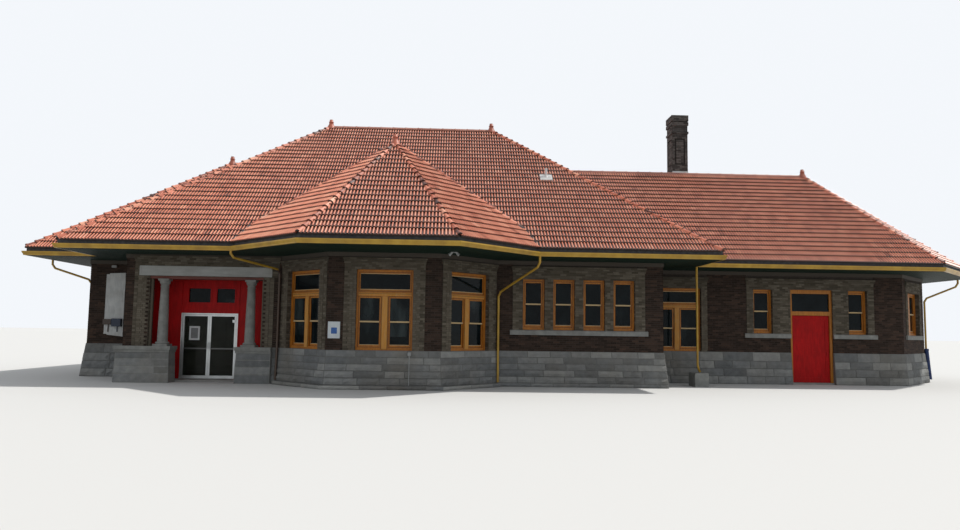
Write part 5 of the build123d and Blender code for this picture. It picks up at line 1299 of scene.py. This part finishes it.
DRESSED = surface(
    "dressed_stone", [(0.25, (0.22, 0.225, 0.215)), (0.55, (0.30, 0.305, 0.29)), (0.8, (0.40, 0.395, 0.375))],
    scale=5, rough=0.85, bump=(0.5, 70), grime=((0.18, 0.175, 0.16), 1.5, 0.45))
TIMBER = surface(
    "painted_timber", [(0.25, (0.38, 0.125, 0.014)), (0.5, (0.54, 0.195, 0.022)), (0.8, (0.62, 0.27, 0.045))],
    bump=(0.25, 30), grime=((0.22, 0.09, 0.03), 2.2, 0.35), coat=0.1, **BOARD_GRAIN)
# Its darkest stops carry the painted shade lines, its palest stops the painted highlight on bevels and rails
TRIM = surface(
    "timber_trim",
    [(0.0, (0.045, 0.018, 0.007)), (0.16, (0.060, 0.024, 0.010)), (0.42, (0.50, 0.18, 0.020)),
     (0.70, (0.64, 0.28, 0.042)), (0.80, (0.64, 0.44, 0.20)), (0.95, (0.70, 0.52, 0.28))], tone=0.86,
    bump=(0.2, 30), **BOARD_GRAIN)
YELLOW = surface("gutter_paint", GUTTER_STOPS, **GUTTER_LOOKS)
PIPE_PAINT = surface("pipe_paint", GUTTER_STOPS, **GUTTER_LOOKS)
RED = surface(
    "red_paint", [(0.3, (0.42, 0.006, 0.007)), (0.6, (0.56, 0.009, 0.010)), (0.85, (0.64, 0.016, 0.015))],
    scale=4, stretch=(4, 4, 0.7), rough=0.5, specular=0.15, bump=(0.2, 35),
    grime=((0.12, 0.008, 0.008), 1.6, 0.3))
BROWN_MORTAR = two_tone("brown_mortar", (0.05, 0.04, 0.034), (0.085, 0.07, 0.06), scale=20, rough=0.95)
BUFF_MORTAR = two_tone("buff_mortar", (0.085, 0.078, 0.062), (0.13, 0.12, 0.095), scale=20, rough=0.95)
STONE_MORTAR = two_tone("stone_mortar", (0.15, 0.15, 0.145), (0.22, 0.22, 0.21), scale=15, rough=0.95)
SOFFIT_PAINT = two_tone(
    "soffit_paint", (0.003, 0.012, 0.008), (0.008, 0.023, 0.015), tone=0.5, rough=0.6, specular=0.15,
    bump=(0.2, 40))
FRIEZE_PAINT = two_tone(
    "frieze_paint", (0.012, 0.030, 0.021), (0.022, 0.046, 0.033), rough=0.6, bump=(0.2, 40))
BEAM = two_tone(
    "beam_paint", (0.11, 0.035, 0.028), (0.18, 0.06, 0.045), scale=5, stretch=(0.6, 4, 4), rough=0.6)
LINTEL = two_tone(
    "lintel_paint", (0.36, 0.37, 0.36), (0.47, 0.48, 0.465), scale=4, stretch=(0.5, 3, 3), rough=0.55,
    bump=(0.15, 30), grime=((0.22, 0.215, 0.20), 1.4, 0.4))
CEILING = two_tone("ceiling_paint", (0.26, 0.25, 0.22), (0.34, 0.33, 0.30), scale=4, rough=0.7)
ALUMINIUM = two_tone(
    "door_aluminium", (0.50, 0.52, 0.52), (0.64, 0.66, 0.66), scale=30, stretch=(8, 8, 0.4), rough=0.38,
    metallic=0.75, bump=(0.08, 80), grime=((0.33, 0.33, 0.32), 3, 0.35))
BOARD = two_tone(
    "board_paint", (0.58, 0.60, 0.60), (0.74, 0.75, 0.74), scale=4, stretch=(3, 3, 0.7), rough=0.6,
    grime=((0.35, 0.34, 0.31), 2.5, 0.4))
WHITE_METAL = two_tone(
    "vent_metal", (0.66, 0.66, 0.66), (0.80, 0.80, 0.80), scale=8, rough=0.45,
    grime=((0.45, 0.44, 0.42), 6, 0.4))
GREY_METAL = two_tone("lamp_metal", *METAL_TONES, scale=20, rough=0.5, metallic=0.4)
FITTING_METAL = two_tone("fitting_metal", *METAL_TONES, scale=20, rough=0.5)
VALLEY = two_tone(
    "valley_metal", (0.035, 0.035, 0.037), (0.075, 0.074, 0.075), scale=8, rough=0.6, metallic=0.3)
FLASHING = two_tone(
    "flashing_metal", (0.42, 0.42, 0.42), (0.58, 0.58, 0.57), scale=12, rough=0.45, metallic=0.5)
CONCRETE = two_tone(
    "concrete_floor", (0.30, 0.29, 0.275), (0.42, 0.41, 0.39), scale=3, rough=0.9, bump=(0.3, 50),
    grime=((0.2, 0.195, 0.185), 0.8, 0.4))
PLATE = two_tone("sign_enamel", (0.62, 0.68, 0.72), (0.74, 0.79, 0.82), rough=0.35, coat=0.3)
FIELD = two_tone("sign_field", (0.018, 0.10, 0.36), (0.03, 0.14, 0.45), rough=0.35, coat=0.3)
SHADOW = two_tone("shadow_line", (0.05, 0.05, 0.048), (0.085, 0.085, 0.08), scale=8, rough=0.8)
BOOT = two_tone(
    "boot_paint", (0.010, 0.030, 0.11), (0.018, 0.050, 0.18), scale=5, rough=0.5,
    grime=((0.06, 0.05, 0.045), 3, 0.4))
NOTICE_FRAME = two_tone("notice_border", (0.72, 0.73, 0.74), (0.82, 0.83, 0.84), scale=8, rough=0.5)
NOTICE_SHEET = two_tone("notice_sheet", (0.20, 0.205, 0.21), (0.27, 0.275, 0.28), rough=0.6)
# Near-black panes: painted shade of the dark rooms behind them
GLASS = glass("window_pane", (0.005, 0.008, 0.009), 0.92)
DOOR_GLASS = glass("door_pane", (0.020, 0.022, 0.017), 0.7)
# Painted reflections on the window panes
painted_reflections(GLASS, (0.055, 0.075, 0.078), 1.6, 2.8)

# Frieze under the soffit's boards, feet of two pipes, two wall fittings and the entry leaves' middle rails
RAIL_LEVELS = (1.045, 1.118)
inside_box(FRIEZE_PAINT, (-FAR, -FAR, 0), (FAR, FAR, 4.196), (0.075, 0.062, 0.050))
inside_box(PIPE_PAINT, (-9.5, -5.2, -1), (-8.0, -4.0, 3.72), (0.075, 0.045, 0.028))
inside_box(PIPE_PAINT, (15.8, 0, -1), (17.5, 2, 1.36), (0.012, 0.035, 0.14))
inside_box(FITTING_METAL, (-15.36, -2, 1), (-15.0, -1, 2.3), (0.045, 0.055, 0.085))
inside_box(FITTING_METAL, (-15.66, -2, 1), (-15.36, -1, 2.3), (0.085, 0.065, 0.055))
for left, right in ENTRY_PANES:
    inside_box(ALUMINIUM, (left, LEAF_FACE - 0.2, RAIL_LEVELS[0]), (right, LEAF_FACE + 0.2, RAIL_LEVELS[1]),
               (0.10, 0.10, 0.10))

# CAD nodes that stay shown, by material
for material, names in (
    (STONE_MORTAR, "left_wing_base bay_base main_front_base right_end_base right_wing_rear_base rear_base"),
    (DRESSED, "porch_pedestals downspout_block stone_sills"),
    (BROWN_MORTAR, "left_wing_walls porch_wall bay_walls main_front_wall right_wing_wall_left "
                   "baggage_door_header right_wing_wall_right right_end_walls right_wing_rear_wall "
                   "rear_walls porch_side_walls"),
    (BUFF_MORTAR, "buff_surrounds"),
    (CONCRETE, "floor_slab"),
    (VALLEY, "main_front_slope main_rear_slope main_left_slope main_right_slope left_wing_roof "
             "right_wing_roof bay_roof"),
    (TILE, "ridge_finials"),
    (FRIEZE_PAINT, "front_soffit rear_soffit"),
    (YELLOW, "front_gutter rear_gutter"),
    (PIPE_PAINT, "downspouts"),
    (CHIMNEY_BRICK, "chimney"),
    (WHITE_METAL, "roof_vent_pipe"),
    (TIMBER, "tall_window_frames small_window_frames upper_sashes lower_sashes baggage_door_frame"),
    (GLASS, "window_glass entry_top_lights baggage_top_light"),
    (DOOR_GLASS, "entry_left_glass entry_right_glass"),
    (LINTEL, "porch_lintel"),
    (BEAM, "porch_beam"),
    (CEILING, "porch_ceiling"),
    (RED, "entry_screen baggage_door"),
    (ALUMINIUM, "entry_door_frame entry_left_leaf entry_right_leaf"),
    (BOARD, "wall_notice_board"),
    (PLATE, "access_sign_plate"),
    (GREY_METAL, "bay_floodlight"),
    (FITTING_METAL, "wall_fittings"),
):
    for name in names.split():
        slots = NODES[name].data.materials
        for k in range(len(slots)):
            slots[k] = material
        if not len(slots):
            slots.append(material)

# New pieces
brown = brown_walls()
pier_shade_bricks(brown)
buff = buff_walls()
reveal_bricks(buff)
brown.make("brown_brickwork", BROWN, "brown_brick")
buff.make("buff_brickwork", BUFF, "buff_brick")
toothed_strips().make("toothed_brick_strips", BUFF, "buff_brick")
base_stones().make("base_stonework", STONE, "stone_base")
pedestal_stones().make("pedestal_stonework", STONE, "stone_base")
for node in ("main_front_slope", "main_rear_slope", "main_left_slope", "main_right_slope", "left_wing_roof",
             "right_wing_roof", "bay_roof"):
    tiles = Shell()
    for normal, triangles in slope_planes(node):
        tile_slope(tiles, normal, triangles)
    tiles.make(node.replace("_slope", "").replace("_roof", "") + "_tiles", TILE, "roof_tile")
roof_caps(HIPS, HIP_STEP, HIP_CAP).make("hip_caps", TILE, "roof_tile")
roof_caps(RIDGES, RIDGE_STEP, RIDGE_CAP).make("ridge_caps", CAP, "roof_tile")
vent_apron().make("vent_apron", FLASHING, "vent_metal")
valley_strips().make("valley_strips", VALLEY, "vent_metal")
soffit_boards().make("soffit_boards", SOFFIT_PAINT, "soffit_paint")
chimney_bricks().make("chimney_brickwork", CHIMNEY_BRICK, "chimney_brick")
chimney_flashing().make("chimney_flashing", FLASHING, "vent_metal")
finial_tops().make("finial_tops", TILE, "roof_tile").data.shade_smooth()
columns = stone_columns().make("stone_columns", DRESSED, "dressed_stone")
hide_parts("porch_columns")
window_mouldings().make("window_mouldings", TRIM, "window_timber")
jamb_beads().make("jamb_beads", BUFF, "buff_brick")
screen_mouldings().make("screen_mouldings", RED, "red_paint")
lintel_lines().make("lintel_lines", SHADOW, "lintel_paint")
downspout_boot().make("downspout_boot", BOOT, "gutter_paint")
sign_plate().make("sign_face", PLATE, "sign_enamel")
sign_field().make("sign_field", FIELD, "sign_enamel")
side_boards().make("porch_side_boards", RED, "red_paint")
notice_frame().make("notice_border", NOTICE_FRAME, "sign_enamel", "entry_left_leaf")
notice_sheet().make("notice_sheet", NOTICE_SHEET, "sign_enamel", "entry_left_leaf")

# Floor, light and camera
def seen_directly(tree):
    """1 for camera, glossy and transmission rays, or else 0."""
    path = tree.nodes.new("ShaderNodeLightPath")
    seen = value_maths(tree, "MAXIMUM", path.outputs["Is Camera Ray"], path.outputs["Is Glossy Ray"])
    return value_maths(tree, "MAXIMUM", seen, path.outputs["Is Transmission Ray"])


def place(name, data):
    """New object in the scene."""
    item = bpy.data.objects.new(name, data)
    bpy.context.scene.collection.objects.link(item)
    return item


REACH = 400
FLOOR_LEVEL = -0.004
floor_paint, tree, shader = new_material("floor_paint")
tree.links.new(mix_colour(tree, seen_directly(tree), (0.34, 0.34, 0.33), (0.66, 0.66, 0.65)),
               shader.inputs["Base Color"])
set_inputs(shader, {"Roughness": 0.9})
floor_mesh = bpy.data.meshes.new("floor")
floor_mesh.from_pydata([(x * REACH, y * REACH, FLOOR_LEVEL) for x, y in ((-1, -1), (1, -1), (1, 1), (-1, 1))],
                       [], [(0, 1, 2, 3)])
floor_mesh.materials.append(floor_paint)
floor = place("floor", floor_mesh)

world = bpy.data.worlds.new("studio")
bpy.context.scene.world = world
world.use_nodes = True
sky = world.node_tree
background = sky.nodes["Background"]
set_inputs(background, {"Color": (0.93, 0.96, 1.0, 1)})
strength = value_maths(sky, "ADD", value_maths(sky, "MULTIPLY", seen_directly(sky), 0.41), 0.56)
sky.links.new(strength, background.inputs["Strength"])

sun_data = bpy.data.lights.new("sun", "SUN")
sun_data.energy = 2.9
sun_data.angle = 0.03
sun_data.color = (1.0, 0.97, 0.92)
SUN_DIRECTION = Vector((-0.60, -0.18, -1.0))
place("sun", sun_data).rotation_euler = SUN_DIRECTION.to_track_quat("-Z", "Y").to_euler()

PICTURE_WIDTH = 960
FOCAL_PIXELS = 747.0
CAMERA_PLACE = (-3.067, -29.3687, 1.8123)
CAMERA_YAW, CAMERA_PITCH, CAMERA_ROLL = 0.0374, 0.0883, 0.0145
camera_data = bpy.data.cameras.new("camera")
camera_data.sensor_width = 36.0
camera_data.lens = FOCAL_PIXELS / PICTURE_WIDTH * camera_data.sensor_width
camera_data.clip_end = 1000
camera = place("camera", camera_data)
flat = np.cos(CAMERA_PITCH)
forward = Vector((np.sin(CAMERA_YAW) * flat, np.cos(CAMERA_YAW) * flat, np.sin(CAMERA_PITCH)))
level = Vector((np.cos(CAMERA_YAW), -np.sin(CAMERA_YAW), 0))
above = level.cross(forward)
right = level * np.cos(CAMERA_ROLL) + above * np.sin(CAMERA_ROLL)
up = above * np.cos(CAMERA_ROLL) - level * np.sin(CAMERA_ROLL)
turn = Matrix((right, up, -forward)).transposed().to_4x4()
camera.matrix_world = Matrix.Translation(CAMERA_PLACE) @ turn
bpy.context.scene.camera = camera
bpy.context.scene.view_settings.view_transform = "Standard"
